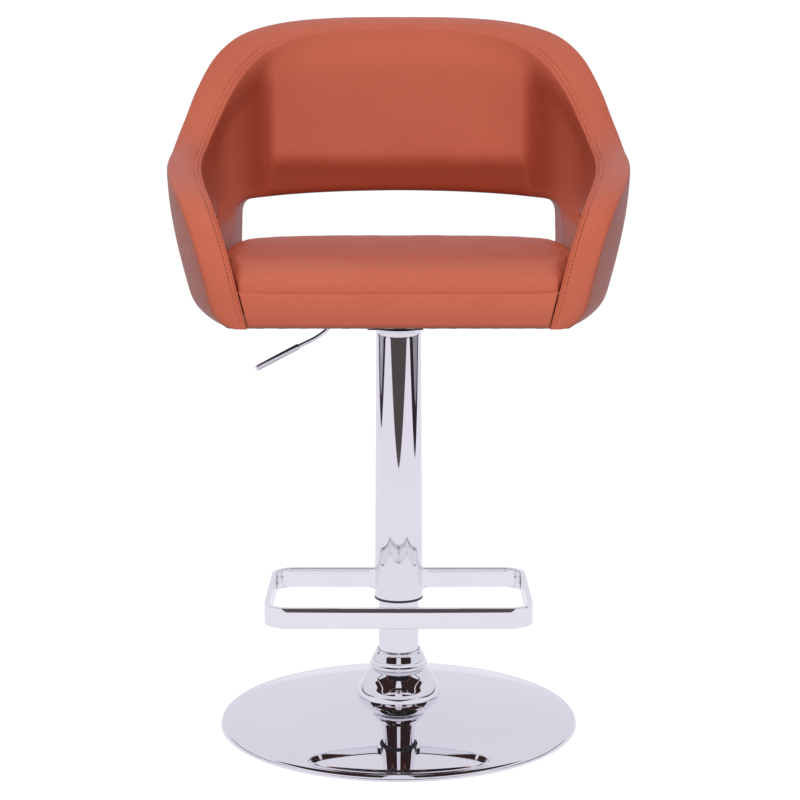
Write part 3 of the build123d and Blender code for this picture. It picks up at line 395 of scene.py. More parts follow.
SLOT_FINISHES: dict[str, Finish] = {
    "chrome_base": Chrome("chrome_base", clean=0.015, hazy=0.05, haze_scale=6.0),
    "chrome_trim": Chrome("chrome_trim"),
    "chrome_tube": Chrome("chrome_tube", tint=(0.88, 0.87, 0.9)),
    "chrome_sleeve": Chrome("chrome_sleeve", tint=(0.87, 0.86, 0.89)),
    "chrome_bar": Chrome("chrome_bar", tint=(0.92, 0.925, 0.93), clean=0.03, hazy=0.09),
    "chrome_lever": Chrome("chrome_lever", clean=0.03, hazy=0.1, haze_scale=30.0),
    "ballast_iron": Coated("ballast_iron", (0.05, 0.05, 0.055), 0.3, 0.7, 60.0, 0.6, 0.6),
    "zinc_steel": Coated("zinc_steel", (0.62, 0.62, 0.6), 1.0, 0.34, 80.0, 0.08, 0.8),
    "bearing_steel": Coated("bearing_steel", (0.7, 0.7, 0.71), 1.0, 0.16, 40.0, 0.03, 0.9),
    "black_steel": Coated("black_steel", (0.03, 0.03, 0.032), 0.0, 0.45, 50.0, 0.3, 0.7),
    "black_cylinder": Coated("black_cylinder", (0.02, 0.02, 0.021), 0.0, 0.2, 20.0, 0.04, 0.8),
    "nylon_bush": Coated("nylon_bush", (0.8, 0.78, 0.7), 0.0, 0.45, 40.0, 0.08, 0.92),
    "black_plastic": Coated("black_plastic", (0.025, 0.025, 0.027), 0.0, 0.42, 90.0, 0.2, 0.75),
    "buffer_rubber": Coated("buffer_rubber", (0.03, 0.03, 0.03), 0.0, 0.8, 60.0, 0.3, 0.8),
    "plywood": Fibrous("plywood", (0.66, 0.48, 0.3), (0.42, 0.27, 0.14), 160.0, 0.7),
    "foam": Fibrous("foam", (0.87, 0.82, 0.64), (0.7, 0.63, 0.45), 900.0, 0.92),
    # Its third colour is painted shade for the bucket's inner corners.
    "terracotta_vinyl": Vinyl("terracotta_vinyl", (0.52, 0.128, 0.074), (0.4, 0.076, 0.038),
                              (0.24, 0.028, 0.01)),
    "dust_cloth": Fibrous("dust_cloth", (0.045, 0.045, 0.047), (0.012, 0.012, 0.013), 700.0, 0.92),
}
THREAD = Fibrous("seam_thread", (0.15, 0.03, 0.018), (0.07, 0.012, 0.008), 2200.0, 0.8)
STAPLE = Coated("staple_wire", (0.66, 0.66, 0.64), 1.0, 0.3, 200.0, 0.05, 0.8)


# ------------------------------------------------------------------ modelling helpers
def deselect() -> None:
    """Clear the selection, so an operator acts on the new piece alone."""
    bpy.ops.object.select_all(action="DESELECT")


def focus(obj: bpy.types.Object) -> None:
    """Make obj the only selected and active object."""
    deselect()
    obj.select_set(True)
    bpy.context.view_layer.objects.active = obj


def place(obj: bpy.types.Object) -> bpy.types.Object:
    """Apply the object's place, turn and size to its mesh."""
    focus(obj)
    bpy.ops.object.transform_apply(location=True, rotation=True, scale=True)
    return obj


def smooth(obj: bpy.types.Object, degrees: float = 32.0) -> bpy.types.Object:
    """Shade smooth, keeping edges sharper than the angle crisp."""
    focus(obj)
    bpy.ops.object.shade_smooth_by_angle(angle=math.radians(degrees))
    return obj


def smooth_fully(obj: bpy.types.Object) -> None:
    """Shade every face smooth."""
    focus(obj)
    bpy.ops.object.shade_smooth()


def apply_modifier(obj: bpy.types.Object, kind: str, **settings: object) -> None:
    """Add one modifier with its settings and apply it."""
    focus(obj)
    modifier = obj.modifiers.new(kind.title(), kind)
    for label, value in settings.items():
        setattr(modifier, label, value)
    bpy.ops.object.modifier_apply(modifier=modifier.name)


def tidy(obj: bpy.types.Object, distance: float = 1e-6) -> None:
    """Merge doubles and turn all faces outwards."""
    focus(obj)
    bpy.ops.object.mode_set(mode="EDIT")
    bpy.ops.mesh.select_all(action="SELECT")
    bpy.ops.mesh.remove_doubles(threshold=distance)
    bpy.ops.mesh.normals_make_consistent(inside=False)
    bpy.ops.object.mode_set(mode="OBJECT")


def dress(obj: bpy.types.Object, finish: Finish) -> bpy.types.Object:
    """Give the whole object one finish."""
    obj.data.materials.clear()
    obj.data.materials.append(finish.material())
    return obj


def commit(obj: bpy.types.Object, name: str, body: str, slot: Optional[str] = None,
           stands_for: Sequence[str] = (), finish: Optional[Finish] = None) -> bpy.types.Object:
    """Name a finished piece, dress it and hand it to the frame.

    Args:
        obj: The finished piece.
        name: Its name in the model.
        body: CAD body it rides on.
        slot: The record's material slot, if it has one.
        stands_for: CAD nodes it replaces.
        finish: Its finish, where that isn't the slot's own.

    Returns:
        The same object.
    """
    obj.name = name
    obj.data.name = name
    dress(obj, finish or SLOT_FINISHES[slot])
    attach(obj, body)
    if stands_for:
        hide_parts(*stands_for)
    LOG.info("%s: %d faces on %s", name, len(obj.data.polygons), body)
    return obj


def turned(rings: Sequence[Ring], segments: int = PLAIN_TURN) -> bpy.types.Object:
    """Turn a closed profile about the column's axis: a circle extruded and scaled ring by ring.

    Args:
        rings: Radius and height of each ring, in order round the closed profile.
        segments: Number of faces round the axis.

    Returns:
        The turned object, smooth shaded.
    """
    deselect()
    radius, height = rings[0]
    bpy.ops.mesh.primitive_circle_add(vertices=segments, radius=radius, location=(0.0, 0.0, height))
    obj = bpy.context.object
    bpy.ops.object.mode_set(mode="EDIT")
    bpy.ops.mesh.select_all(action="SELECT")
    for next_radius, next_height in [*rings[1:], rings[0]]:
        rise = (0.0, 0.0, next_height - height)
        bpy.ops.mesh.extrude_region_move(TRANSFORM_OT_translate={"value": rise})
        share = next_radius / radius
        bpy.ops.transform.resize(value=(share, share, 1.0), center_override=(0.0, 0.0, next_height))
        radius, height = next_radius, next_height
    bpy.ops.object.mode_set(mode="OBJECT")
    place(obj)
    tidy(obj, 1e-5)
    return smooth(obj)


def arc(centre: Ring, radius: float, start: float, end: float, steps: int) -> list[Ring]:
    """Points of an arc in the profile plane, angles in degrees."""
    angles = np.radians(np.linspace(start, end, steps + 1))
    return [(centre[0] + radius * math.cos(a), centre[1] + radius * math.sin(a)) for a in angles]


def filleted(corners: Sequence[tuple[float, float, float]], steps: int = 5) -> list[Ring]:
    """Closed profile with rounded corners.

    Args:
        corners: Radius, height and fillet length of each corner.
        steps: Faces in each rounded corner.

    Returns:
        The profile's rings.
    """
    rings: list[Ring] = []
    for i, (r, z, cut) in enumerate(corners):
        here = np.array((r, z))
        if cut <= 0.0:
            rings.append((r, z))
            continue
        before = np.array(corners[i - 1][:2]) - here
        after = np.array(corners[(i + 1) % len(corners)][:2]) - here
        first = here + before / np.linalg.norm(before) * cut
        last = here + after / np.linalg.norm(after) * cut
        for u in np.linspace(0.0, 1.0, steps + 1):
            spot = (1 - u) ** 2 * first + 2 * u * (1 - u) * here + u**2 * last
            rings.append((float(spot[0]), float(spot[1])))
    return rings


def mesh_object(name: str, verts: Sequence, faces: Sequence) -> bpy.types.Object:
    """Object from vertices and faces, at the origin."""
    mesh = bpy.data.meshes.new(name)
    mesh.from_pydata([tuple(map(float, v)) for v in verts], [], [tuple(map(int, f)) for f in faces])
    mesh.update()
    obj = bpy.data.objects.new(name, mesh)
    bpy.context.scene.collection.objects.link(obj)
    return obj


def grid_faces(rows: int, columns: int, start: int = 0,
               skip: Optional[Callable[[int, int], bool]] = None) -> list[tuple[int, int, int, int]]:
    """Quads of a grid of points stored row by row.

    Args:
        rows: Number of rows of points.
        columns: Number of points in a row.
        start: Index of the grid's first point.
        skip: Says of a row and column whether the face there is left out.

    Returns:
        The faces.
    """
    faces = []
    for i in range(rows - 1):
        for j in range(columns - 1):
            if skip is not None and skip(i, j):
                continue
            a = start + i * columns + j
            faces.append((a, a + 1, a + columns + 1, a + columns))
    return faces


def loop_faces(rings: int, count: int, start: int = 0) -> list[tuple[int, int, int, int]]:
    """Quads between closed rings of count points each, stored ring by ring from index start."""
    faces = []
    for ring in range(rings - 1):
        for k in range(count):
            a, b = start + ring * count + k, start + ring * count + (k + 1) % count
            faces.append((a, b, b + count, a + count))
    return faces


def smooth_line(points: Sequence[Sequence[float]], per_span: int = 24) -> np.ndarray:
    """Smooth curve through points, with tangents weighted by the distances between them."""
    p = np.array(points, float)
    gaps = np.linalg.norm(np.diff(p, axis=0), axis=1)
    slopes = np.diff(p, axis=0) / gaps[:, None]
    tangents = np.empty_like(p)
    tangents[0], tangents[-1] = slopes[0], slopes[-1]
    for i in range(1, len(p) - 1):
        tangents[i] = (slopes[i - 1] * gaps[i] + slopes[i] * gaps[i - 1]) / (gaps[i] + gaps[i - 1])
    curve = []
    for i in range(len(p) - 1):
        for u in np.linspace(0.0, 1.0, per_span, endpoint=False):
            h1, h2 = 2 * u**3 - 3 * u**2 + 1, -2 * u**3 + 3 * u**2
            h3, h4 = u**3 - 2 * u**2 + u, u**3 - u**2
            curve.append(h1 * p[i] + h2 * p[i + 1] + (h3 * tangents[i] + h4 * tangents[i + 1]) * gaps[i])
    curve.append(p[-1])
    return np.array(curve)


def run_lengths(curve: np.ndarray) -> np.ndarray:
    """Length along a curve at each of its points."""
    return np.concatenate([[0.0], np.cumsum(np.linalg.norm(np.diff(curve, axis=0), axis=1))])


def resample(curve: np.ndarray, shares: Sequence[float]) -> np.ndarray:
    """Points of a curve at given shares of its length."""
    runs = run_lengths(curve)
    at = np.asarray(shares, float) * runs[-1]
    return np.stack([np.interp(at, runs, curve[:, k]) for k in range(curve.shape[1])], axis=1)


def stitch_row(path: np.ndarray, normals: np.ndarray, pitch: float, length: float, width: float) -> tuple:
    """Short rounded stitches laid end to end along a path.

    Args:
        path: Points of the seam.
        normals: Outward direction at each point.
        pitch: Distance from one stitch to the next.
        length: Length of a stitch.
        width: Its thickness.

    Returns:
        Vertices and faces.
    """
    runs = run_lengths(path)
    sides = 6
    verts: list[np.ndarray] = []
    faces: list[tuple] = []
    for n in range(int(runs[-1] / pitch)):
        middle = (n + 0.5) * pitch
        first, last = middle - length / 2, middle + length / 2
        spot, ahead, behind, out = (
            np.array([np.interp(at, runs, field[:, k]) for k in range(3)])
            for at, field in ((middle, path), (last, path), (first, path), (middle, normals))
        )
        along = ahead - behind
        along /= np.linalg.norm(along)
        out = out - along * float(out @ along)
        out /= np.linalg.norm(out)
        across = np.cross(along, out)
        base = len(verts)
        for share, swell in ((-0.5, 0.45), (-0.3, 0.95), (0.3, 0.95), (0.5, 0.45)):
            dip = -0.6 * width * (2 * abs(share)) ** 3
            radius = width * 0.5 * swell
            for angle in np.arange(sides) * (2 * math.pi / sides):
                lift = dip + radius * math.sin(angle)
                verts.append(spot + along * share * length + out * lift + across * radius * math.cos(angle))
        faces += loop_faces(4, sides, base)
        faces.append(tuple(base + t for t in reversed(range(sides))))
        faces.append(tuple(base + 3 * sides + t for t in range(sides)))
    return verts, faces


# ------------------------------------------------------------------ floor base and column
@dataclass
class FloorBase:
    """Rolled-edge chromed dome with the bell and collar that close it against the column."""

    radius: float = 225.5 * MM
    crown: float = 40.0 * MM
    shoulder: float = 10.0 * MM
    rim: float = 7.5 * MM
    sheet: float = 1.5 * MM
    hole: float = 25.3 * MM
    bell_neck: float = 32.0 * MM
    bell_top: float = 73.0 * MM
    bell_foot: float = 53.5 * MM
    collar_lip: float = 36.4 * MM
    collar_top: float = 96.0 * MM

    def dome(self, r: float, depth: float = 0.0) -> float:
        """Height of the dome at radius r, or of a surface that lies depth inside it."""
        meet = self.radius - self.rim
        rise = self.crown - self.shoulder
        sphere = (meet**2 + rise**2) / (2 * rise)
        return self.crown - sphere + math.sqrt((sphere - depth) ** 2 - r**2)

    def build_cover(self) -> None:
        """The dome with its rolled rim and the fine line where they meet."""
        meet = self.radius - self.rim
        low = self.shoulder - self.rim
        outside = [(r, self.dome(r)) for r in np.linspace(self.hole, meet - 1.2 * MM, 44)]
        outside += [(meet - 0.5 * MM, self.dome(meet - 0.5 * MM) - 0.3 * MM)]
        outside += arc((meet, low), self.rim, 88.0, 0.0, 14)
        inside = [(self.radius, self.sheet), (self.radius - self.sheet, self.sheet)]
        inside += arc((meet, low), self.rim - self.sheet, 0.0, 90.0, 8)
        inside += [(r, self.dome(r, self.sheet)) for r in np.linspace(meet - 4 * MM, self.hole, 22)]
        cover = turned([(float(r), float(z)) for r, z in outside + inside], WIDE_TURN)
        commit(cover, "base_dome", "base", "chrome_base", ["base_cover"])

    def build_bell(self) -> None:
        """Convex bell over the flange, down to the dome."""
        edge = self.dome(self.bell_foot)
        bulge = (self.bell_neck + (self.bell_foot - self.bell_neck) * 0.72,
                 edge + (self.bell_top - edge) * 0.47)
        shoulder = smooth_line([(self.bell_neck, self.bell_top - 0.6 * MM),
                                (self.bell_neck + 9.3 * MM, self.bell_top - 9.2 * MM), bulge,
                                (self.bell_foot - 1.2 * MM, edge + 7 * MM), (self.bell_foot, edge)], 8)
        outside = [(self.hole, self.bell_top), (self.bell_neck - 0.8 * MM, self.bell_top)]
        outside += [(float(r), float(z)) for r, z in shoulder]
        inner = self.bell_foot - self.sheet
        inside = [(self.bell_foot, edge - 0.4 * MM), (inner, edge - 0.4 * MM), (inner, edge + 4 * MM),
                  (bulge[0] - 1.8 * MM, bulge[1] - 1.8 * MM), (self.bell_neck, self.bell_top - 2.2 * MM),
                  (self.hole, self.bell_top - self.sheet)]
        bell = turned(outside + inside)
        commit(bell, "column_bell", "base", "chrome_trim", ["bell_cover"])

    def build_collar(self) -> None:
        """Collar between bell and tube, with a rounded lip under its faceted upper cone."""
        lip, z = self.collar_lip, self.bell_top
        bore = 25.05 * MM
        profile = filleted(
            [
                (bore, z, 0.0),
                (lip - 0.8 * MM, z, 0.5 * MM),
                (lip, z + 1.6 * MM, 1.2 * MM),
                (lip, z + 5.4 * MM, 1.3 * MM),
                (lip - 1.9 * MM, z + 6.6 * MM, 0.5 * MM),
                (lip - 2.2 * MM, z + 10.5 * MM, 1.0 * MM),
                (29.5 * MM, self.collar_top - 4.0 * MM, 1.8 * MM),
                (28.0 * MM, self.collar_top, 1.2 * MM),
                (26.2 * MM, self.collar_top, 0.5 * MM),
                (25.6 * MM, self.collar_top - 2.5 * MM, 0.0),
                (bore, self.collar_top - 2.6 * MM, 0.0),
            ]
        )
        collar = turned(profile)
        commit(collar, "column_collar", "base", "chrome_trim", ["collar_ring"])

    def build(self) -> None:
        """Build the three turned covers."""
        self.build_cover()
        self.build_bell()
        self.build_collar()


@dataclass
class OuterColumn:
    """Chromed tube that stands in the base."""

    radius: float = 25.0 * MM
    wall: float = 1.5 * MM

    def build(self) -> None:
        """A thin tube with rolled ends."""
        low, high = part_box("outer_tube")
        inner = self.radius - self.wall
        corners = [(self.radius, low.z, 0.0)]
        corners += [(self.radius, z, 0.0) for z in np.linspace(low.z + 0.02, high.z - 0.02, 8)]
        corners += [(self.radius, high.z, 0.5 * MM), (inner, high.z, 0.5 * MM), (inner, low.z, 0.0)]
        tube = turned(filleted(corners, 3), NARROW_TURN)
        commit(tube, "column_tube", "base", "chrome_tube", ["outer_tube"])


# ------------------------------------------------------------------ footrest
@dataclass
class Footrest:
    """Conical sleeve with its end ring and the flat bar bent round in front of it."""

    foot_radius: float = 30.0 * MM
    head_radius: float = 27.7 * MM
    wall: float = 1.2 * MM
    bar_thick: float = 6.0 * MM
    bar_corner: float = 28.0 * MM
    weld_reach: float = 7.0 * MM
    weld_flare: float = 3.4 * MM

    def sleeve_radius(self, z: float) -> float:
        """Outer radius of the sleeve at a height."""
        low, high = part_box("cover_sleeve")
        share = (z - low.z) / (high.z - low.z)
        return self.foot_radius + share * (self.head_radius - self.foot_radius)

    def build_sleeve(self) -> None:
        """Sleeve with rounded ends."""
        low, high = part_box("cover_sleeve")
        corners = [(self.foot_radius, low.z, 0.3 * MM)]
        levels = np.linspace(low.z + 0.01, high.z - 0.01, 12)
        corners += [(self.sleeve_radius(z), float(z), 0.0) for z in levels]
        corners += [(self.head_radius, high.z, 0.4 * MM), (self.head_radius - self.wall, high.z, 0.4 * MM),
                    (self.foot_radius - self.wall, low.z, 0.3 * MM)]
        sleeve = turned(filleted(corners, 3))
        commit(sleeve, "footrest_sleeve", "footrest", "chrome_sleeve", ["cover_sleeve"])

    def build_end_ring(self) -> None:
        """Black ring that guides the sleeve's foot on the tube."""
        low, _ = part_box("sleeve_end_ring")
        lip = self.foot_radius + 0.4 * MM
        z = low.z
        profile = filleted([
            (25.3 * MM, z, 0.4 * MM), (lip, z, 0.9 * MM), (lip, z + 3 * MM, 0.4 * MM),
            (28.7 * MM, z + 3 * MM, 0.0), (28.65 * MM, z + 12.9 * MM, 0.3 * MM),
            (25.3 * MM, z + 12.9 * MM, 0.3 * MM),
        ])
        ring = turned(profile, NARROW_TURN)
        commit(ring, "sleeve_foot_ring", "footrest", "black_plastic", ["sleeve_end_ring"])

    def build_bar(self) -> None:
        """Flat bar: a plane with rounded corners, inset to the bar's thickness and raised to its height."""
        low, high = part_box("footrest_bar")
        deselect()
        middle = ((low.x + high.x) / 2, (low.y + high.y) / 2, low.z)
        bpy.ops.mesh.primitive_plane_add(size=1.0, location=middle)
        bar = bpy.context.object
        bar.scale = (high.x - low.x, high.y - low.y, 1.0)
        place(bar)
        bpy.ops.object.mode_set(mode="EDIT")
        bpy.ops.mesh.select_all(action="SELECT")
        bpy.ops.mesh.bevel(offset=self.bar_corner, offset_type="OFFSET", segments=24, affect="VERTICES")
        bpy.ops.mesh.select_mode(type="FACE")
        bpy.ops.mesh.select_all(action="SELECT")
        bpy.ops.mesh.inset(thickness=self.bar_thick, use_even_offset=True)
        bpy.ops.mesh.delete(type="FACE")
        bpy.ops.mesh.select_all(action="SELECT")
        bpy.ops.mesh.extrude_region_move(TRANSFORM_OT_translate={"value": (0.0, 0.0, high.z - low.z)})
        bpy.ops.object.mode_set(mode="OBJECT")
        tidy(bar)
        apply_modifier(bar, "BEVEL", width=0.6 * MM, segments=3, limit_method="ANGLE",
                       angle_limit=math.radians(60.0))
        deselect()
        bpy.ops.mesh.primitive_cone_add(
            vertices=NARROW_TURN, radius1=self.sleeve_radius(low.z - 0.01) - 0.5 * MM,
            radius2=self.sleeve_radius(high.z + 0.01) - 0.5 * MM, depth=high.z - low.z + 0.02,
            location=(0.0, 0.0, (low.z + high.z) / 2),
        )
        cutter = place(bpy.context.object)
        apply_modifier(bar, "BOOLEAN", operation="DIFFERENCE", object=cutter, solver="EXACT")
        bpy.data.objects.remove(cutter)
        smooth(bar, 25.0)
        commit(bar, "footrest_frame", "footrest", "chrome_bar", ["footrest_bar"])

    def build_weld(self, side: Side) -> None:
        """Hollow fillet where the bar runs into the sleeve.

        Args:
            side: Which side of the sleeve.
        """
        low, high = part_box("footrest_bar")
        half_y, half_z, corner = self.bar_thick / 2, (high.z - low.z) / 2, 1.2 * MM
        middle = (low.z + high.z) / 2
        outline = []
        for cy, cz, start in ((1, 1, 0), (-1, 1, 90), (-1, -1, 180), (1, -1, 270)):
            for turn in np.radians(np.linspace(start, start + 90, 7)):
                outline.append((cy * (half_y - corner), cz * (half_z - corner),
                                math.cos(turn), math.sin(turn)))
        rows = 9
        verts = []
        for row in range(rows):
            share = row / (rows - 1)
            flare = self.weld_flare * (1.0 - share) ** 2.4 + 0.05 * MM
            for cy, cz, out_y, out_z in outline:
                y = cy + (corner + flare) * out_y
                z = middle + cz + (corner + flare) * out_z
                radius = self.sleeve_radius(z) - 0.3 * MM
                foot = math.sqrt(max(radius**2 - y**2, 0.0))
                reach = self.weld_reach * share**1.15
                verts.append((side.value * (foot + reach), y, z))
        count = len(outline)
        faces: list[tuple] = list(loop_faces(rows, count))
        faces.append(tuple(range(count)))
        faces.append(tuple(range((rows - 1) * count, rows * count)))
        weld = mesh_object("weld", verts, faces)
        tidy(weld)
        smooth(weld, 50.0)
        commit(weld, f"weld_{side.name.lower()}", "footrest", "chrome_bar")

    def build(self) -> None:
        """Build sleeve, ring, bar and both welds."""
        self.build_sleeve()
        self.build_end_ring()
        self.build_bar()
        for side in Side:
            self.build_weld(side)


# ------------------------------------------------------------------ lift lever
@dataclass
class LiftLever:
    """Cranked chromed rod with a thicker rounded hand end."""

    pivot_height: float = 513.8 * MM
    rod_radius: float = 2.5 * MM
    grip_radius: float = 3.8 * MM

    def path(self) -> np.ndarray:
        """Centre line from the socket to the tip, with soft bends."""
        z = self.pivot_height
        level = [(-31.5 * MM, z), (-60.0 * MM, z), (-71.0 * MM, z - 0.6 * MM)]
        bend = [(-81.5 * MM, z - 5.2 * MM), (-91.0 * MM, z - 13.9 * MM), (-101.0 * MM, z - 20.9 * MM)]
        fall = [(-122.0 * MM, z - 31.6 * MM), (-150.0 * MM, z - 46.3 * MM), (-177.0 * MM, z - 60.5 * MM)]
        return smooth_line(level + bend + fall, 10)

    def build_part(self, start: float, end: float, radius: float, nose: float) -> bpy.types.Object:
        """Round bar along a stretch of the path, its ends rounded over by nose.

        Args:
            start: Share of the path where it starts.
            end: Share of the path where it ends.
            radius: The bar's radius.
            nose: Length over which each end is rounded.

        Returns:
            The bar as a mesh.
        """
        path = self.path()
        total = run_lengths(path)[-1]
        tips = np.array([0.0, 0.06, 0.2, 0.45, 0.75, 1.0]) * nose / total
        shares = np.concatenate([start + tips, np.linspace(start + 0.02, end - 0.02, 40), (end - tips)[::-1]])
        shares = np.unique(np.clip(shares, start, end))
        points = resample(path, shares)
        data = bpy.data.curves.new("lever", "CURVE")
        data.dimensions = "3D"
        data.bevel_depth = radius
        data.bevel_resolution = 8
        data.use_fill_caps = True
        spline = data.splines.new("POLY")
        spline.points.add(len(points) - 1)
        for spot, (x, z), share in zip(spline.points, points, shares):
            spot.co = (x, 0.0, z, 1.0)
            into = min(share - start, end - share) * total
            spot.radius = max(0.12, math.sqrt(max(0.0, 1.0 - max(0.0, 1.0 - into / nose) ** 2)))
        obj = bpy.data.objects.new("lever", data)
        bpy.context.scene.collection.objects.link(obj)
        focus(obj)
        bpy.ops.object.convert(target="MESH")
        obj = bpy.context.object
        tidy(obj)
        return smooth(obj, 60.0)

    def build(self) -> None:
        """Rod and hand end."""
        runs = run_lengths(self.path())
        grip_start = float(np.interp(-0.122, self.path()[::-1, 0], runs[::-1])) / runs[-1]
        rod = self.build_part(0.0, grip_start + 0.05, self.rod_radius, 0.6 * MM)
        commit(rod, "lever_arm", "lever", "chrome_lever", ["lever_rod"])
        grip = self.build_part(grip_start, 1.0, self.grip_radius, 3.4 * MM)
        commit(grip, "lever_hand_end", "lever", "chrome_lever", ["lever_grip"])


# ------------------------------------------------------------------ seat
RIM_LINE = (
    (252.0, 360.6), (240.0, 357.0), (210.0, 346.0), (188.0, 335.0), (160.0, 314.2), (109.0, 263.1),
    (65.0, 218.8), (25.0, 193.9), (-30.0, 181.0), (-90.0, 168.9), (-145.0, 154.9), (-187.9, 138.5),
    (-218.0, 111.0), (-235.0, 73.9), (-240.0, 35.0), (-240.0, 0.0),
)


PLAN_CENTRE = np.array([0.0, -0.01])


def eased(value: np.ndarray) -> np.ndarray:
    """Smooth step from 0 to 1 of a value that runs from 0 to 1."""
    value = np.clip(value, 0.0, 1.0)
    return value * value * (3.0 - 2.0 * value)


@dataclass
class BucketShape:
    """Curved outer and inner faces of the seat's bucket; heights are above its underside."""

    bottom: float = 532.8 * MM
    half_width: float = 278.0 * MM
    back: float = 240.0 * MM
    front: float = 240.0 * MM
    height: float = 357.0 * MM
    wall: float = 42.0 * MM
    round: float = 26.0 * MM
    taper: float = 425.0 * MM
    power: float = 2.6
    widest: float = 167.0 * MM
    foot_narrowing: float = 33.0 * MM
    top_narrowing: float = 6.5 * MM
    narrowing_rise: float = 60.0 * MM
    lean: float = 30.0 * MM
    squareness: float = 0.45
    square_rise: float = 48.0 * MM

    def __post_init__(self) -> None:
        """Measure the back's reference outline, which turns run lengths into angles."""
        angles = np.linspace(0.0, math.pi / 2, 721)
        x = 0.25 * np.cos(angles).clip(0.0) ** (2 / self.power)
        y = 0.21 * np.sin(angles).clip(0.0) ** (2 / self.power)
        self.angles = angles
        self.runs = run_lengths(np.stack([x, y], axis=1))
        rim = np.array(RIM_LINE[::-1]) * MM
        self.rim_y, self.rim_h = rim[2:, 0], rim[2:, 1]

    @property
    def run_end(self) -> float:
        """Run from the side's widest line to the middle of the back."""
        return float(self.runs[-1])

    def corner_inset(self, h: np.ndarray, depth: np.ndarray) -> np.ndarray:
        """Inset of the rounded bottom corner, fading out through the wall."""
        reach = np.minimum(h, self.round).clip(0.0)
        rounding = self.round - np.sqrt(self.round**2 - (self.round - reach) ** 2)
        return rounding * np.maximum(0.0, 1.0 - depth / self.wall)

    def width_at(self, h: np.ndarray, depth: np.ndarray) -> np.ndarray:
        """Half width at a height, depth inside the outer face."""
        drop = 1.0 - np.minimum(h, self.widest) / self.widest
        below = self.half_width - self.foot_narrowing * drop**1.6
        rise = (np.maximum(h, self.widest) - self.widest) / self.narrowing_rise
        above = self.top_narrowing * (1.0 - np.exp(-(rise**2)))
        return below - above - depth - self.corner_inset(h, depth)

    def back_at(self, h: np.ndarray, depth: np.ndarray) -> np.ndarray:
        """Depth of the back from the axis at a height."""
        lean = self.lean * np.maximum(0.0, 1.0 - h / self.height) ** 1.3
        return self.back - lean - depth - self.corner_inset(h, depth)

    def power_at(self, angle: np.ndarray, h: np.ndarray, depth: float) -> np.ndarray:
        """Exponent of the back's outline: the inner face turns tighter corners below its rim."""
        y = self.back_at(h, depth) * np.sin(angle).clip(0.0) ** (2 / self.power)
        drop = np.interp(y, self.rim_y, self.rim_h) - h
        share = eased(drop / self.square_rise) * eased((h - 84.0 * MM) / (46.0 * MM))
        return self.power + self.squareness * share * min(1.0, depth / self.wall)

    def point(self, run: np.ndarray, h: np.ndarray, depth: float) -> np.ndarray:
        """Point of the right half: run is the distance behind the widest line, negative in front."""
        run, h = np.broadcast_arrays(np.asarray(run, float), np.asarray(h, float))
        angle = np.interp(run, self.runs, self.angles)
        width, back = self.width_at(h, depth), self.back_at(h, depth)
        front_x = width * np.sqrt(1.0 - (np.minimum(run, 0.0) / self.taper) ** 2)
        power = self.power_at(angle, h, depth)
        back_x = width * np.cos(angle).clip(0.0) ** (2 / power)
        x = np.where(run < 0.0, front_x, back_x)
        y = np.where(run < 0.0, run, back * np.sin(angle) ** (2 / power))
        return np.stack([x, y, self.bottom + h], axis=-1)

    def front_half(self, y: float, h: float, depth: float) -> float:
        """Half width in front of the widest line, at y and a height."""
        return float(self.width_at(np.array(h), depth)) * math.sqrt(1.0 - (y / self.taper) ** 2)

    def run_at_depth(self, y: np.ndarray, h: np.ndarray, depth: float) -> np.ndarray:
        """Run of the point that lies y behind the axis."""
        share = (np.maximum(y, 0.0) / self.back_at(h, depth)).clip(0.0, 1.0)
        angle = np.arcsin(share ** (self.power / 2))
        return np.where(y < 0.0, y, np.interp(angle, self.angles, self.runs))

    def run_at_width(self, x: np.ndarray, h: np.ndarray, depth: float) -> np.ndarray:
        """Run of the back's point that lies x beside the middle."""
        share = (np.abs(x) / self.width_at(h, depth)).clip(0.0, 1.0)
        angle = np.arccos(share ** (self.power / 2))
        for _ in range(6):
            angle = np.arccos(share ** (self.power_at(angle, h, depth) / 2))
        return np.interp(angle, self.angles, self.runs)

    def plan(self, front_gap: float, h: float, depth: float, counts: tuple[int, int, int]) -> np.ndarray:
        """Plan outline at one height, anticlockwise from the right front corner.

        Args:
            front_gap: How far its front lies behind the bucket's.
            h: Height above the underside.
            depth: Depth inside the outer face.
            counts: Points along a side, round half of the back, and across the front.

        Returns:
            The outline's points.
        """
        beside, behind, across = counts
        runs = np.concatenate([np.linspace(-self.front + front_gap, 0.0, beside),
                               np.linspace(0.0, self.run_end, behind)[1:]])
        right = self.point(runs, np.full_like(runs, h), depth)[:, :2]
        left = right[-2::-1].copy()
        left[:, 0] *= -1.0
        return np.concatenate([right, left, np.linspace(left[-1], right[0], across)[1:-1]])


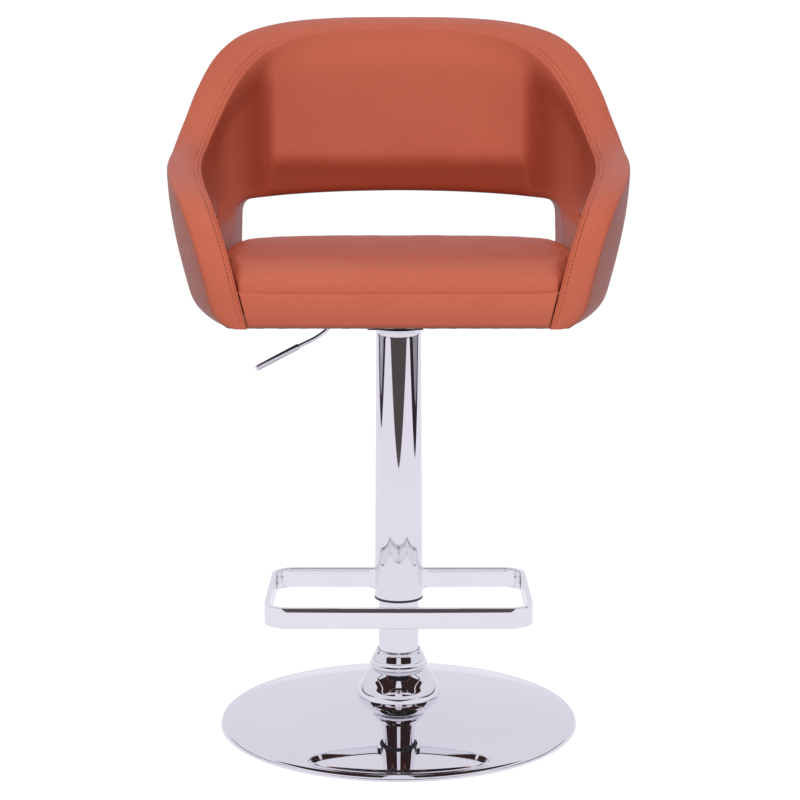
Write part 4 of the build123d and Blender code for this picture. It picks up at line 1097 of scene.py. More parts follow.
@dataclass
class SeatShell:
    """Upholstered bucket: outside, inside, border band and the lined opening in the lower back."""

    shape: BucketShape
    columns: int = 84
    window_columns: int = 34
    corner_rows: int = 6
    sill_rows: int = 3
    window_rows: int = 8
    upper_rows: int = 22
    outer_round: float = 5.5 * MM
    inner_round: float = 3.0 * MM
    window_round: float = 8.0 * MM
    window_roll: float = 15.0 * MM
    window_sill: float = 52.0 * MM
    window_side: float = 68.5 * MM
    window_arch: float = 9.0 * MM
    window_corner: float = 13.0 * MM
    window_half: float = 211.0 * MM
    seam_depth: float = 2.0 * MM
    crown: float = 2.2 * MM
    relax_steps: int = 900
    pad: float = 11.0 * MM
    pad_half: float = 168.0 * MM

    @property
    def rows(self) -> int:
        """Rows of faces from the underside to the rim."""
        return self.corner_rows + self.sill_rows + self.window_rows + self.upper_rows

    @property
    def window_span(self) -> tuple[int, int]:
        """Rows at the lower and the upper edge of the opening."""
        sill = self.corner_rows + self.sill_rows
        return sill, sill + self.window_rows

    def rim_run(self, depth: float) -> np.ndarray:
        """Rim line as run and height on the face at a depth, from the foot of the front edge to the back."""
        side = smooth_line(np.array(RIM_LINE[::-1]) * MM, 40)
        runs = self.shape.run_at_depth(side[:, 0], side[:, 1], depth)
        inside = side[:, 0] < self.shape.back_at(side[:, 1], depth)
        line = np.stack([runs, side[:, 1]], axis=1)
        last = int(np.argmin(inside)) if not inside.all() else len(inside)
        line = line[:last]
        top = np.array([[self.shape.run_end, line[-1, 1] + 0.1 * MM]])
        return np.concatenate([line, top])

    def offset_line(self, line: np.ndarray, distance: float) -> np.ndarray:
        """Line moved into the shell in run and height."""
        ahead = np.gradient(line, axis=0)
        ahead[-1] = (1.0, 0.0)
        ahead /= np.linalg.norm(ahead, axis=1)[:, None]
        moved = line + np.stack([ahead[:, 1], -ahead[:, 0]], axis=1) * distance
        moved[-1, 0] = self.shape.run_end
        moved[0, 1] = 0.0
        return moved

    def window_outline(self, growth: float, depth: float, shares: Sequence[np.ndarray]) -> list[np.ndarray]:
        """Right half of the opening's outline on the face at a depth, in run and height.

        Args:
            growth: How far the outline lies outside the opening.
            depth: Depth of the face under the outer one.
            shares: Shares along the lower, side and upper stretches, each from the middle outwards or up.

        Returns:
            One array of points for each stretch.
        """
        half = self.window_half + growth
        low = self.window_sill - growth
        side = self.window_sill + self.window_side + growth
        r = self.window_corner + growth
        turns = np.radians(np.linspace(-90.0, 0.0, 13))
        lower = [(half - r + r * math.cos(t), low + r + r * math.sin(t)) for t in turns]
        upper = [(half - r + r * math.cos(t), side - r + r * math.sin(t)) for t in turns + math.pi / 2]
        arch = [(x, side + self.window_arch * (1.0 - (x / half) ** 2))
                for x in np.linspace(half - r, 0.0, 30)][1:]
        rise = self.window_arch * (1.0 - ((half - r) / half) ** 2)
        upper = [(x, z + rise * (k / 12) ** 2) for k, (x, z) in enumerate(upper)]
        path = [(x, low) for x in np.linspace(0.0, half - r, 30)][:-1] + lower + upper + arch
        knots = (0, 29 + 6, 29 + 13 + 6, len(path) - 1)
        stretches = []
        for k in range(3):
            piece = resample(np.array(path[knots[k]:knots[k + 1] + 1]), shares[k])
            x, h = piece[:, 0], piece[:, 1]
            narrowing = np.ones_like(x)
            for _ in range(12):
                run = self.shape.run_at_width(x * narrowing, h, depth)
                y = self.shape.point(run, h, depth)[:, 1]
                narrowing = 1.0 - 16.0 / 204.0 * (y - 60.0 * MM) / (240.0 * MM)
            stretches.append(np.stack([run, h], axis=1))
        return stretches

    def face_grid(self, depth: float, rounding: float,
                  growth: float) -> tuple[np.ndarray, dict[str, np.ndarray]]:
        """Grid of one face in run and height, with its border lines.

        Args:
            depth: Depth of the face under the outer one.
            rounding: Distance kept to the rim for the rounded edge.
            growth: Distance kept to the opening for its rolled edge.

        Returns:
            The grid, columns first, and the sharp rim and opening points beside its borders.
        """
        m, n = self.columns, self.rows
        rim = self.rim_run(depth)
        edge = self.offset_line(rim, rounding)
        corner = int(np.argmax(rim[:, 0] > -0.205))
        turns = np.linspace(math.pi / 2, 0.0, self.corner_rows + 1)
        corner_heights = self.shape.round * (1.0 - np.sin(turns))
        front_runs = run_lengths(edge[:corner + 1])
        first = np.interp(corner_heights, edge[:corner + 1, 1], front_runs)
        rest = np.linspace(first[-1], front_runs[-1], n - self.corner_rows + 1)[1:]
        at = np.concatenate([first, rest])
        left, left_sharp = (
            np.stack([np.interp(at, front_runs, line[:corner + 1, k]) for k in (0, 1)], axis=1)
            for line in (edge, rim)
        )
        spread = np.append(np.linspace(0.0, 1.0 - 1.8 * MM / 0.62, m), 1.0)
        want = rim[corner, 0] + (self.shape.run_end - rim[corner, 0]) * spread
        upper = np.interp(want, rim[corner:, 0], np.arange(corner, len(rim)))
        top, top_sharp = (
            np.stack([np.interp(upper, np.arange(len(rim)), line[:, k]) for k in (0, 1)], axis=1)
            for line in (edge, rim)
        )
        low_runs = left[0, 0] + (self.shape.run_end - left[0, 0]) * spread
        low = np.stack([low_runs, np.zeros(m + 1)], axis=1)
        sill, head = self.window_span
        sill_h = self.window_sill - growth
        head_h = self.window_sill + self.window_side + self.window_arch + growth
        levels = np.concatenate([
            corner_heights[:-1],
            np.linspace(self.shape.round, sill_h, self.sill_rows + 1)[:-1],
            np.linspace(sill_h, head_h, self.window_rows + 1)[:-1],
            np.linspace(head_h, top[-1, 1], self.upper_rows + 1),
        ])
        right = np.stack([np.full(n + 1, self.shape.run_end), levels], axis=1)
        u, v = np.meshgrid(np.linspace(0, 1, m + 1), np.linspace(0, 1, n + 1), indexing="ij")
        u, v = u[..., None], v[..., None]
        grid = ((1 - v) * low[:, None] + v * top[:, None] + (1 - u) * left[None] + u * right[None]
                - (1 - u) * (1 - v) * left[0] - u * (1 - v) * right[0]
                - (1 - u) * v * left[-1] - u * v * right[-1])
        fixed = np.zeros((m + 1, n + 1), bool)
        fixed[0], fixed[-1], fixed[:, 0], fixed[:, -1] = True, True, True, True
        start = m - self.window_columns
        across = np.append(np.linspace(1.0, 1.8 * MM / 0.2, self.window_columns), 0.0)
        bunched = across ** 0.92
        shares = [1.0 - (1.0 - bunched), np.linspace(0, 1, self.window_rows + 1), 1.0 - bunched]
        hole = self.window_outline(growth, depth, shares)
        hole_sharp = self.window_outline(0.0, depth, shares)
        grid[start:, sill], grid[start, sill:head + 1], grid[start:, head] = hole[0], hole[1], hole[2]
        fixed[start:, sill], fixed[start, sill:head + 1], fixed[start:, head] = True, True, True
        free = ~fixed
        for _ in range(self.relax_steps):
            mean = (grid[2:, 1:-1] + grid[:-2, 1:-1] + grid[1:-1, 2:] + grid[1:-1, :-2]) / 4
            grid[1:-1, 1:-1] = np.where(free[1:-1, 1:-1, None], mean, grid[1:-1, 1:-1])
            grid[:, :self.corner_rows + 1, 1] = corner_heights
        borders = {"left": left_sharp, "top": top_sharp, "hole": np.concatenate(
            [hole_sharp[0][::-1], hole_sharp[1][1:], hole_sharp[2][1:]])}
        return grid, borders

    @staticmethod
    def both_halves(right: np.ndarray) -> np.ndarray:
        """Columns of the right half followed by their mirror images."""
        left = right[-2::-1].copy()
        left[..., 0] *= -1.0
        return np.concatenate([right, left])

    def hole_loop(self, grid: np.ndarray) -> np.ndarray:
        """Border of the opening in a full grid, anticlockwise from the lower middle."""
        m = self.columns
        sill, head = self.window_span
        start = m - self.window_columns
        return np.concatenate([grid[m:start:-1, sill], grid[start, sill:head], grid[start:m + 1, head]])

    def lip(self, first: np.ndarray, sharp: np.ndarray, last: np.ndarray, steps: int) -> list[np.ndarray]:
        """Rounded edge from one face to the next, without its two end rows."""
        rows = []
        for u in np.linspace(0.0, 1.0, steps + 2)[1:-1]:
            rows.append((1 - u) ** 2 * first + 2 * u * (1 - u) * sharp + u**2 * last)
        return rows

    def band_rows(self, outer: np.ndarray, sharp_outer: np.ndarray, sharp_inner: np.ndarray,
                  inner: np.ndarray) -> tuple[np.ndarray, tuple[int, int]]:
        """Cross rows of the border band with its crown, two seams and the topstitched line.

        Args:
            outer: Rim of the outer face.
            sharp_outer: Corner the outer edge is rounded from.
            sharp_inner: Corner the inner edge is rounded from.
            inner: Rim of the inner face.

        Returns:
            Points by row and station, and the rows of the topstitching and of the seam.
        """
        across = sharp_inner - sharp_outer
        width = np.linalg.norm(across, axis=1)[:, None]
        across = across / width
        scale = width / self.shape.wall
        sink = {}
        spots = [6.0, 9.0, 12.5, 16.0, 19.5, 23.0, 26.5, 30.0, 32.6, 33.6, 34.6, 36.2, 37.6, 38.3, 38.9]
        dips = {9: 0.35, 13: 1.0}
        rows = [outer, *self.lip(outer, sharp_outer, sharp_outer + across * spots[0] * MM * scale, 4)]
        lead = len(rows)
        for k, spot in enumerate(spots):
            rows.append(sharp_outer + across * spot * MM * scale)
            middle = (spot * MM - self.shape.wall / 2) / (self.shape.wall / 2 - 5 * MM)
            lift = self.crown * max(0.0, 1.0 - middle**2)
            sink[lead + k] = lift - self.seam_depth * dips.get(k, 0.0)
        rows += [*self.lip(sharp_outer + across * spots[-1] * MM * scale, sharp_inner, inner, 3), inner]
        grid = np.stack(rows)
        normal = np.cross(np.gradient(grid, axis=1), np.gradient(grid, axis=0))
        normal /= np.linalg.norm(normal, axis=2)[..., None].clip(1e-12)
        if normal[lead + 6, grid.shape[1] // 2, 2] < 0:
            normal = -normal
        for row, amount in sink.items():
            grid[row] += normal[row] * amount * np.minimum(scale, 1.0)
        self.stitch_normals = {row: normal[row] for row in (lead + 9, lead + 13)}
        return grid, (lead + 9, lead + 13)

    def build(self) -> None:
        """Build the closed cover and the line of stitches on its band."""
        outer_grid, outer_border = self.face_grid(0.0, self.outer_round, self.window_round)
        inner_grid, inner_border = self.face_grid(self.shape.wall, self.inner_round, self.window_roll)
        faces_3d = []
        for grid, depth in ((outer_grid, 0.0), (inner_grid, self.shape.wall)):
            faces_3d.append(self.both_halves(self.shape.point(grid[..., 0], grid[..., 1], depth)))
        outer, inner = faces_3d
        inner[..., 1] -= self.pad_lift(inner)
        sharp = []
        for border, depth in ((outer_border, 0.0), (inner_border, self.shape.wall)):
            line = np.concatenate([border["left"], border["top"][1:]])
            sharp.append(self.both_halves(self.shape.point(line[:, 0], line[:, 1], depth)))
        rim = [np.concatenate([face[0, :-1], face[:, -1], face[-1, -2::-1]]) for face in (outer, inner)]
        band, thread_rows = self.band_rows(rim[0], sharp[0], sharp[1], rim[1])

        window = []
        for border, depth, face in ((outer_border, 0.0, outer), (inner_border, self.shape.wall, inner)):
            right = self.hole_loop(face)
            left = right[-2:0:-1].copy()
            left[:, 0] *= -1.0
            corner = self.shape.point(border["hole"][:, 0], border["hole"][:, 1], depth)
            corner_left = corner[-2:0:-1].copy()
            corner_left[:, 0] *= -1.0
            window.append((np.concatenate([right, left]), np.concatenate([corner, corner_left])))
        (outer_loop, outer_sharp), (inner_loop, inner_sharp) = window
        through = inner_sharp - outer_sharp
        length = np.linalg.norm(through, axis=1)[:, None]
        through = through / length
        near = outer_sharp + through * np.minimum(self.window_round, length * 0.25)
        far = inner_sharp - through * np.minimum(self.window_round, length * 0.25)
        lining = [outer_loop, *self.lip(outer_loop, outer_sharp, near, 3)]
        lining += [near + (far - near) * u for u in np.linspace(0.0, 1.0, 7)]
        lining += [*self.lip(far, inner_sharp, inner_loop, 3), inner_loop]
        lining = np.stack([np.concatenate([row, row[:1]]) for row in lining])

        shares = np.linspace(0.0, 1.0, len(band))[:, None, None]
        under = outer[None, :, 0] * (1 - shares) + inner[None, :, 0] * shares
        under = np.concatenate([band[:, :1], under, band[:, -1:]], axis=1)

        m = self.columns
        sill, head = self.window_span
        gap = range(m - self.window_columns, m + self.window_columns)
        verts: list = []
        faces: list = []
        for patch, cut in ((outer, True), (inner, True), (band, False), (lining, False), (under, False)):
            skip = (lambda i, j: i in gap and sill <= j < head) if cut else None
            faces += grid_faces(patch.shape[0], patch.shape[1], len(verts), skip)
            verts += list(patch.reshape(-1, 3))
        shell = mesh_object("shell", verts, faces)
        tidy(shell, 1e-5)
        self.soften(shell)
        apply_modifier(shell, "SUBSURF", levels=1, render_levels=1)
        # Painted shade: store the mask that darkens the vinyl in the bucket's inner corners.
        self.mark_painted_shade(shell)
        smooth_fully(shell)
        commit(shell, "bucket_upholstery", "seat", "terracotta_vinyl",
               ["outer_cover", "inner_cover", "border_band", "window_border", "shell_foam"])

        stitches_size, seam_size = (4.6 * MM, 3.7 * MM, 1.0 * MM), (3.1 * MM, 2.9 * MM, 1.1 * MM)
        threads = (("band_stitches", thread_rows[0], stitches_size),
                   ("band_seam", thread_rows[1], seam_size))
        for name, row, (pitch, length, width) in threads:
            path, normals = band[row][2:-2], self.stitch_normals[row][2:-2]
            verts, faces = stitch_row(path, normals, pitch, length, width)
            stitches = mesh_object(name, verts, faces)
            smooth(stitches, 80.0)
            commit(stitches, name, "seat", "terracotta_vinyl", finish=THREAD)

    def pad_lift(self, points: np.ndarray) -> np.ndarray:
        """How far the padded back panel stands forward of the bucket's inside."""
        x, y, h = np.abs(points[..., 0]), points[..., 1], points[..., 2] - self.shape.bottom
        rim = np.interp(y, self.shape.rim_y, self.shape.rim_h)
        beside = eased((self.pad_half + 12.0 * MM - x) / (26.0 * MM))
        above = eased((h - 146.0 * MM) / (30.0 * MM))
        below = eased((rim - 4.0 * MM - h) / (46.0 * MM))
        return self.pad * beside * above * below * (y > 0.0)

    def mark_painted_shade(self, shell: bpy.types.Object) -> None:
        """Store a painted-shade mask for the finish: how far each point lies in the bucket's inner back
        corners and in a band low on its back, below the rim.
        """
        mesh = shell.data
        field = mesh.attributes.new("painted_shade_mask", "FLOAT", "POINT")
        spots = np.empty(len(mesh.vertices) * 3)
        mesh.vertices.foreach_get("co", spots)
        spots = spots.reshape(-1, 3)
        x, y, h = np.abs(spots[:, 0]), spots[:, 1], spots[:, 2] - self.shape.bottom
        back = self.shape.back_at(h, np.full_like(h, self.shape.wall * 0.6))
        width = self.shape.width_at(h, np.full_like(h, self.shape.wall * 0.6))
        power = self.shape.power
        reach = (x / width) ** power + (np.maximum(y, 0.0) / back) ** power
        within = eased((1.0 - reach) / 0.06) * (y > 40.0 * MM)
        rim = np.interp(y, self.shape.rim_y, self.shape.rim_h)
        under_rim = eased((rim - 6.0 * MM - h) / (50.0 * MM))
        corner = eased((x - 152.0 * MM) / (22.0 * MM)) * eased((226.0 * MM - x) / (46.0 * MM))
        corner *= eased((h - 96.0 * MM) / (50.0 * MM))
        foot = eased((188.0 * MM - h) / (48.0 * MM)) * eased((h - 112.0 * MM) / (10.0 * MM))
        foot *= eased((190.0 * MM - x) / (30.0 * MM))
        # Painted shade: the corners and the low band make up the darkening mask.
        painted_shade_mask = np.maximum(corner, foot * 0.95) * under_rim * within
        field.data.foreach_set("value", np.clip(painted_shade_mask, 0.0, 1.0))

    def soften(self, shell: bpy.types.Object) -> None:
        """Let the padding rise and fall a little under the stretched cover."""
        mesh = shell.data
        moved = []
        for vertex in mesh.vertices:
            spot = Vector((abs(vertex.co.x), vertex.co.y, vertex.co.z)) * 13.0
            swell = noise.noise(spot) * 0.55 * MM + noise.noise(spot * 3.1) * 0.16 * MM
            moved.append(vertex.co + vertex.normal * swell)
        for vertex, spot in zip(mesh.vertices, moved):
            vertex.co = spot
        mesh.update()


@dataclass
class SeatCushion:
    """Crowned cushion in the bucket and the band that closes its front."""

    shape: BucketShape
    clearance: float = 2.2 * MM
    seam: float = 41.0 * MM
    crown: float = 74.0 * MM
    rear: float = 67.0 * MM
    voxel: float = 5.0 * MM
    cap: float = 5.0 * MM

    def top_line(self) -> np.ndarray:
        """Side view of the cushion's top, from the front seam to the back."""
        front = -self.shape.front + 2.0 * MM
        return smooth_line(
            [(front, self.seam + 1.0 * MM), (front + 2.6 * MM, self.seam + 9.0 * MM),
             (front + 14 * MM, self.crown - 17 * MM), (front + 48 * MM, self.crown - 6.5 * MM),
             (front + 120 * MM, self.crown - 1.6 * MM), (0.0, self.crown - 0.6 * MM),
             (self.shape.back, self.rear)], 16)

    def build_cushion(self) -> None:
        """Closed form, swollen as cloth over its filling, then kept clear of the bucket."""
        widest = 60.0 * MM
        outline = self.shape.plan(2 * MM, widest, self.shape.wall + self.clearance, (40, 60, 40))
        line = self.top_line()
        half = len(outline)
        verts, faces = [], []
        shares = [1.0, 0.995, 0.985, 0.965, 0.935, 0.89, 0.83, 0.74, 0.62, 0.48, 0.32, 0.16]
        edge_drop = [11.5, 7.6, 4.8, 2.4, 0.9, 0.2, 0, 0, 0, 0, 0, 0]
        low = self.shape.bottom + 20.0 * MM
        for x, y in outline:
            verts.append((x * 0.985, y * 0.985, low))
        for share, drop in zip(shares, edge_drop):
            for x, y in PLAN_CENTRE + (outline - PLAN_CENTRE) * share:
                top = float(np.interp(y, line[:, 0], line[:, 1]))
                side = min(1.0, max(0.0, (y + self.shape.front) / (40 * MM)))
                verts.append((x, y, self.shape.bottom + top - drop * MM * side))
        rings = len(shares) + 1
        faces += loop_faces(rings, half)
        middle = float(np.interp(PLAN_CENTRE[1], line[:, 0], line[:, 1]))
        verts.append((*PLAN_CENTRE, self.shape.bottom + middle))
        tip = len(verts) - 1
        for k in range(half):
            faces.append(((rings - 1) * half + k, (rings - 1) * half + (k + 1) % half, tip))
        faces.append(tuple(range(half))[::-1])
        cushion = mesh_object("cushion", verts, faces)
        tidy(cushion)
        apply_modifier(cushion, "REMESH", mode="VOXEL", voxel_size=self.voxel)
        self.swell(cushion)
        self.shape_rules(cushion)
        apply_modifier(cushion, "SUBSURF", levels=1, render_levels=1)
        smooth_fully(cushion)
        commit(cushion, "seat_cushion", "seat", "terracotta_vinyl", ["seat_foam", "seat_top_cover"])

    def swell(self, cushion: bpy.types.Object) -> None:
        """Blow the cover up as cloth for a few steps and cap how far it moves."""
        rest = np.array([v.co for v in cushion.data.vertices], float)
        focus(cushion)
        cloth = cushion.modifiers.new("Cloth", "CLOTH")
        cloth.settings.quality = 5
        cloth.settings.mass = 0.4
        cloth.settings.tension_stiffness = 18.0
        cloth.settings.compression_stiffness = 18.0
        cloth.settings.shear_stiffness = 8.0
        cloth.settings.bending_stiffness = 1.5
        cloth.settings.use_pressure = True
        cloth.settings.uniform_pressure_force = 4.0
        cloth.settings.effector_weights.gravity = 0.0
        scene = bpy.context.scene
        for step in range(1, 21):
            scene.frame_set(step)
        bpy.ops.object.modifier_apply(modifier=cloth.name)
        scene.frame_set(1)
        for vertex, home in zip(cushion.data.vertices, rest):
            move = np.array(vertex.co) - home
            length = float(np.linalg.norm(move))
            if length > self.cap:
                vertex.co = home + move * (self.cap / length)
        cushion.data.update()

    def shape_rules(self, cushion: bpy.types.Object) -> None:
        """Keep the cushion inside the bucket and behind its front seam."""
        depth = self.shape.wall + 0.3 * MM
        for vertex in cushion.data.vertices:
            x, y, z = vertex.co
            h = z - self.shape.bottom
            if y < 0.0:
                limit = self.shape.front_half(y, h, depth)
                if abs(x) > limit:
                    x = math.copysign(limit, x)
            else:
                width = float(self.shape.width_at(np.array(h), depth))
                back = float(self.shape.back_at(np.array(h), depth))
                power = self.shape.power
                reach = ((abs(x) / width) ** power + (y / back) ** power) ** (1 / power)
                if reach > 1.0:
                    x, y = x / reach, y / reach
            fold = min(1.0, max(0.0, (self.seam + 7.0 * MM - h) / (8.0 * MM)))
            y = max(y, -self.shape.front + 1.4 * MM + 5.0 * MM * fold**2)
            top = self.shape.bottom + self.crown + 2.6 * MM
            vertex.co = (x, y, min(z, top))
        cushion.data.update()

    def build_front(self) -> None:
        """Front band between the arms, rolled over at both long edges."""
        front = -self.shape.front
        profile = smooth_line(
            [(front + 12 * MM, self.seam - 4.0 * MM), (front + 6.0 * MM, self.seam - 1.3 * MM),
             (front + 2.2 * MM, self.seam - 3.4 * MM), (front + 0.3 * MM, self.seam - 10 * MM),
             (front - 0.9 * MM, self.seam - 20 * MM), (front + 0.1 * MM, 10 * MM),
             (front + 1.9 * MM, 4.2 * MM), (front + 6.2 * MM, 0.9 * MM),
             (front + 14 * MM, 0.4 * MM), (front + 60 * MM, 0.4 * MM)], 5)
        stations = np.concatenate([[-1.0, -0.9965, -0.9905, -0.982], np.linspace(-0.965, 0.965, 60),
                                   [0.982, 0.9905, 0.9965, 1.0]])
        verts = []
        for u in stations:
            end = max(0.0, (abs(u) - 0.978) / 0.022)
            tuck = 3.2 * MM * (1.0 - math.sqrt(max(0.0, 1.0 - end**2)))
            for y, h in profile:
                width = self.shape.front_half(y, max(h, 0.0), self.shape.wall)
                rise = 2.4 * MM * abs(u) ** 6 * max(0.0, (h / self.seam)) ** 4
                verts.append((u * (width + 0.2 * MM), y + tuck, self.shape.bottom + h + rise))
        columns = len(profile)
        band = mesh_object("front", verts, grid_faces(len(stations), columns))
        tidy(band)
        apply_modifier(band, "SOLIDIFY", thickness=2.4 * MM, offset=-1.0)
        apply_modifier(band, "SUBSURF", levels=1, render_levels=1)
        smooth_fully(band)
        commit(band, "front_band", "seat", "terracotta_vinyl", ["seat_front_band"])

    def build(self) -> None:
        """Cushion and front band."""
        self.build_cushion()
        self.build_front()


@dataclass
class SeatUnderside:
    """Black cloth stapled under the seat."""

    shape: BucketShape
    inset: float = 35.0 * MM
    front_inset: float = 16.0 * MM
    staple_pitch: float = 24.0 * MM

    def outline(self, inset: float) -> np.ndarray:
        """Plan outline of the cloth, anticlockwise from the right front."""
        return self.shape.plan(self.front_inset, self.shape.round * 0.9, inset - 7 * MM, (34, 46, 34))

    def build(self) -> None:
        """The cloth with a rolled edge, and its staples."""
        _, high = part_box("dust_cover")
        outline = self.outline(self.inset)
        verts = []
        shares = [0.985, 1.0, 1.0, 0.985, 0.97, 0.93, 0.85, 0.72, 0.56, 0.4]
        drops = [0.1, 0.25, 0.75, 0.95, 0.75, 0.6, 0.6, 0.6, 0.6, 0.6]
        for share, drop in zip(shares, drops):
            for k, (x, y) in enumerate(PLAN_CENTRE + (outline - PLAN_CENTRE) * share):
                pucker = 0.12 * MM * math.sin(k * 1.7) * (1.0 if share > 0.9 else 0.3)
                verts.append((x, y, high.z - drop * MM + pucker * 0.5))
        faces = [(a, d, c, b) for a, b, c, d in loop_faces(len(shares), len(outline))]
        cloth = mesh_object("cloth", verts, faces)
        smooth(cloth, 60.0)
        commit(cloth, "underside_cloth", "seat", "dust_cloth", ["dust_cover"])
        self.build_staples(high.z - 1.0 * MM)

    def build_staples(self, z: float) -> None:
        """Staples along the cloth's edge."""
        outline = self.outline(self.inset + 6 * MM)
        line = np.concatenate([outline, outline[:1]])
        runs = run_lengths(line)
        verts, faces = [], []
        for n in range(int(runs[-1] / self.staple_pitch)):
            at = (n + 0.5) * self.staple_pitch
            spot = np.array([np.interp(at, runs, line[:, k]) for k in (0, 1)])
            ahead = np.array([np.interp(at + 2 * MM, runs, line[:, k]) for k in (0, 1)]) - spot
            ahead /= np.linalg.norm(ahead)
            across = np.array([-ahead[1], ahead[0]])
            base = len(verts)
            for share, dip in ((-1.0, 0.6), (-0.82, 0.0), (0.82, 0.0), (1.0, 0.6)):
                for wide, deep in ((-1, 0), (1, 0), (1, 1), (-1, 1)):
                    x, y = spot + ahead * share * 5 * MM + across * wide * 0.6 * MM
                    verts.append((x, y, z + dip * MM + deep * 0.5 * MM))
            faces += loop_faces(4, 4, base)
            faces.append((base + 3, base + 2, base + 1, base))
            faces.append((base + 12, base + 13, base + 14, base + 15))
        staples = mesh_object("staples", verts, faces)
        tidy(staples)
        smooth(staples, 40.0)
        commit(staples, "cloth_staples", "seat", "zinc_steel", finish=STAPLE)


# ------------------------------------------------------------------ carried-over CAD nodes
@dataclass
class CarriedNodes:
    """CAD nodes whose shape is right: they stay and get the finish of their slot."""

    record: dict

    def build(self) -> None:
        """Dress every shown CAD node."""
        slots = {part["node"]: part["material_slot"] for part in self.record["subparts"]}
        for name, obj in frame["nodes"].items():
            if obj.hide_render:
                continue
            dress(obj, SLOT_FINISHES[slots[name]])


# ------------------------------------------------------------------ studio
@dataclass
class Studio:
    """Pale floor, soft light, camera, and dark floor cards that only the chrome reflects."""

    camera_place: Point = (0.0017, -2.4, 0.81025)
    tilt: float = 80.63
    lens: float = 88.19

    def build_camera(self) -> None:
        """Camera at the viewing angle."""
        data = bpy.data.cameras.new("camera")
        data.lens = self.lens
        data.sensor_width = 36.0
        data.clip_end = 100.0
        camera = bpy.data.objects.new("camera", data)
        camera.location = self.camera_place
        camera.rotation_euler = (math.radians(self.tilt), 0.0, 0.0)
        bpy.context.scene.collection.objects.link(camera)
        bpy.context.scene.camera = camera

    def build_world(self) -> None:
        """White to the camera, pale lilac grey in reflections, neutral as light."""
        world = bpy.data.worlds.new("studio")
        bpy.context.scene.world = world
        world.use_nodes = True
        tree = world.node_tree
        tree.nodes.clear()
        out = tree.nodes.new("ShaderNodeOutputWorld")
        path = tree.nodes.new("ShaderNodeLightPath")
        shades = []
        for colour, strength in (((1, 1, 1), 0.2), ((0.79, 0.765, 0.855), 1.0), ((1, 1, 1), 1.05)):
            node = tree.nodes.new("ShaderNodeBackground")
            node.inputs["Color"].default_value = (*colour, 1.0)
            node.inputs["Strength"].default_value = strength
            shades.append(node.outputs[0])
        first, second = tree.nodes.new("ShaderNodeMixShader"), tree.nodes.new("ShaderNodeMixShader")
        for node, factor, a, b in (
            (first, path.outputs["Is Glossy Ray"], shades[0], shades[1]),
            (second, path.outputs["Is Camera Ray"], first.outputs[0], shades[2]),
        ):
            tree.links.new(factor, node.inputs[0])
            tree.links.new(a, node.inputs[1])
            tree.links.new(b, node.inputs[2])
        tree.links.new(second.outputs[0], out.inputs[0])

    def glow(self, name: str, colour: Colour, strength: float, diffuse: float) -> bpy.types.Material:
        """Flat stage material that also glows a little."""
        material = bpy.data.materials.new(name)
        material.use_nodes = True
        shader = material.node_tree.nodes["Principled BSDF"]
        shader.inputs["Base Color"].default_value = (*(c * diffuse for c in colour), 1.0)
        shader.inputs["Roughness"].default_value = 1.0
        shader.inputs["Specular IOR Level"].default_value = 0.0
        shader.inputs["Emission Color"].default_value = (*colour, 1.0)
        shader.inputs["Emission Strength"].default_value = strength
        return material

    def build_floor(self) -> None:
        """Large pale floor: near white to the eye, pale lilac grey in the chrome."""
        deselect()
        bpy.ops.mesh.primitive_plane_add(size=60.0, location=(0.0, 0.0, 0.0))
        floor = bpy.context.object
        floor.name = "floor"
        material = bpy.data.materials.new("floor_pale")
        material.use_nodes = True
        tree = material.node_tree
        wire = Wiring(tree)
        shader = tree.nodes["Principled BSDF"]
        shader.inputs["Base Color"].default_value = (0.3, 0.3, 0.3, 1.0)
        shader.inputs["Roughness"].default_value = 1.0
        shader.inputs["Specular IOR Level"].default_value = 0.0
        path = tree.nodes.new("ShaderNodeLightPath")
        shown = wire.mix(path.outputs["Is Camera Ray"], (0.2, 0.2, 0.2), (0.97, 0.97, 0.975))
        mirrored = path.outputs["Is Glossy Ray"]
        wire.link(wire.mix(mirrored, shown, (0.86, 0.83, 0.915)), shader.inputs["Emission Color"])
        shader.inputs["Emission Strength"].default_value = 1.0
        wire.link(wire.mix(mirrored, (0.3, 0.3, 0.3), (0.0, 0.0, 0.0)), shader.inputs["Base Color"])
        floor.data.materials.append(material)

    def card(self, name: str, verts: Sequence, faces: Sequence, colour: Colour) -> None:
        """Dark card, seen in reflections only."""
        obj = mesh_object(name, verts, faces)
        obj.data.materials.append(self.glow(f"{name}_shade", colour, 1.0, 0.0))
        obj.visible_camera = False
        obj.visible_diffuse = False
        obj.visible_shadow = False
        obj.visible_transmission = False

    def wedge(self, name: str, middle: float, half: float, tip: float, top: float, colour: Colour) -> None:
        """Upright card bent round the axis, pointed below and widening upwards.

        Args:
            name: The card's name.
            middle: Azimuth of its middle in degrees, 0 in front and positive to the right.
            half: Half of the angle it covers at the top.
            tip: Height of its tip.
            top: Height of its upper edge.
            colour: What it shows.
        """
        rows, columns = 13, 25
        radius = 1.79 if name.endswith("core") else 1.8
        verts = []
        for height in np.linspace(0.0, 1.0, rows):
            for across in np.linspace(-1.0, 1.0, columns):
                turn = math.radians(middle + across * half * height)
                rise = (top - tip) * height**1.6
                verts.append((radius * math.sin(turn), -radius * math.cos(turn), tip + rise))
        self.card(name, verts, grid_faces(rows, columns), colour)

    def dome_card(self, name: str, azimuths: Ring, heights: Ring, colour: Colour) -> None:
        """Card on a wide sphere, between two azimuths and two elevations in degrees."""
        rows, columns, radius = 9, 9, 3.2
        verts = []
        for up in np.radians(np.linspace(*heights, rows)):
            for turn in np.radians(np.linspace(*azimuths, columns)):
                verts.append((radius * math.cos(up) * math.sin(turn), -radius * math.cos(up) * math.cos(turn),
                              radius * math.sin(up)))
        self.card(name, verts, grid_faces(rows, columns), colour)

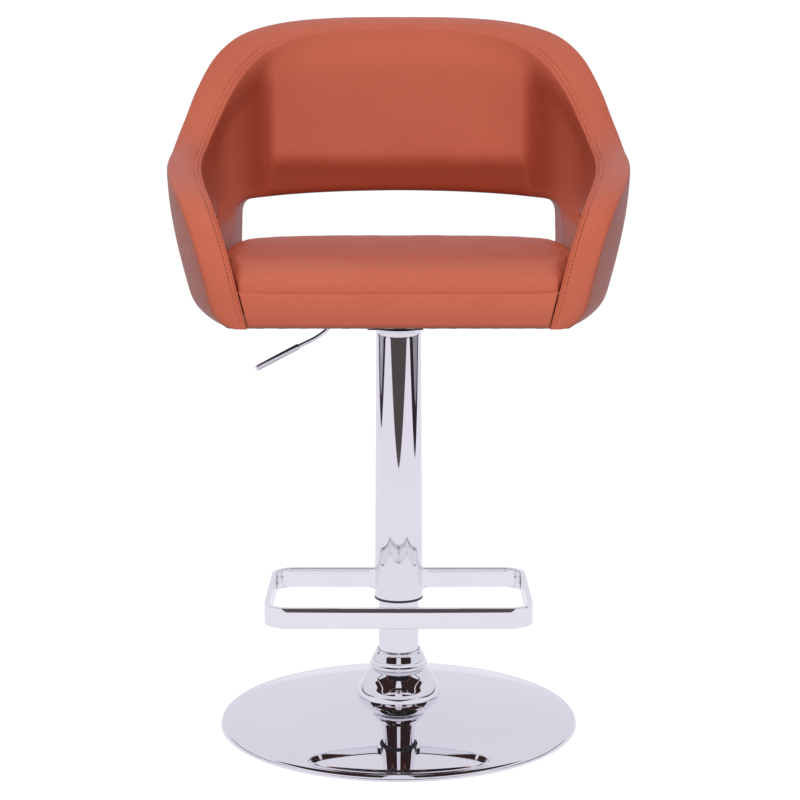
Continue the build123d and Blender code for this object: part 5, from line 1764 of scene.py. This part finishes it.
    def build_cards(self) -> None:
        """Wedges for the sleeve and high cards for bell and collar."""
        self.wedge("card_front", 0.0, 49.0, 0.003, 0.36, (0.085, 0.07, 0.07))
        self.wedge("card_left", -97.0, 34.0, 0.078, 0.36, (0.04, 0.034, 0.04))
        self.wedge("card_left_core", -99.0, 22.0, 0.15, 0.365, (0.36, 0.345, 0.38))
        self.wedge("card_right", 89.0, 37.0, 0.015, 0.36, (0.03, 0.024, 0.03))
        self.wedge("card_right_core", 94.0, 23.0, 0.13, 0.365, (0.3, 0.29, 0.32))
        self.dome_card("card_high_left", (-92.0, -11.0), (33.0, 76.0), (0.035, 0.02, 0.02))
        self.dome_card("card_high_right", (11.0, 92.0), (33.0, 76.0), (0.035, 0.02, 0.02))

    def light(self, name: str, place_at: Point, aim: Point, size: float, power: float) -> None:
        """Soft square light aimed at a point."""
        data = bpy.data.lights.new(name, "AREA")
        data.size = size
        data.energy = power
        lamp = bpy.data.objects.new(name, data)
        lamp.location = place_at
        lamp.rotation_euler = (Vector(aim) - Vector(place_at)).to_track_quat("-Z", "Y").to_euler()
        lamp.visible_glossy = False
        bpy.context.scene.collection.objects.link(lamp)

    def build_lights(self) -> None:
        """Key from the upper front, a top light and a low fill."""
        aim = (0.0, 0.0, 0.6)
        self.light("key", (-0.4, -2.9, 1.9), aim, 1.0, 60.0)
        self.light("fill", (0.9, -2.6, 1.1), aim, 1.2, 12.0)
        self.light("top", (0.0, -0.5, 3.0), aim, 1.4, 20.0)

    def build(self) -> None:
        """Build everything around the stool."""
        bpy.context.scene.view_settings.view_transform = "Standard"
        self.build_camera()
        self.build_world()
        self.build_floor()
        self.build_cards()
        self.build_lights()


def main() -> None:
    """Build the stool around its frame, then the studio."""
    logging.basicConfig(level=logging.INFO, format="%(message)s")
    bucket = BucketShape()
    assemblies = (
        Studio(), FloorBase(), OuterColumn(), Footrest(), LiftLever(), SeatShell(bucket),
        SeatCushion(bucket), SeatUnderside(bucket), CarriedNodes(frame["record"]),
    )
    for assembly in assemblies:
        LOG.info("building %s", type(assembly).__name__)
        assembly.build()


if __name__ == "__main__":
    main()
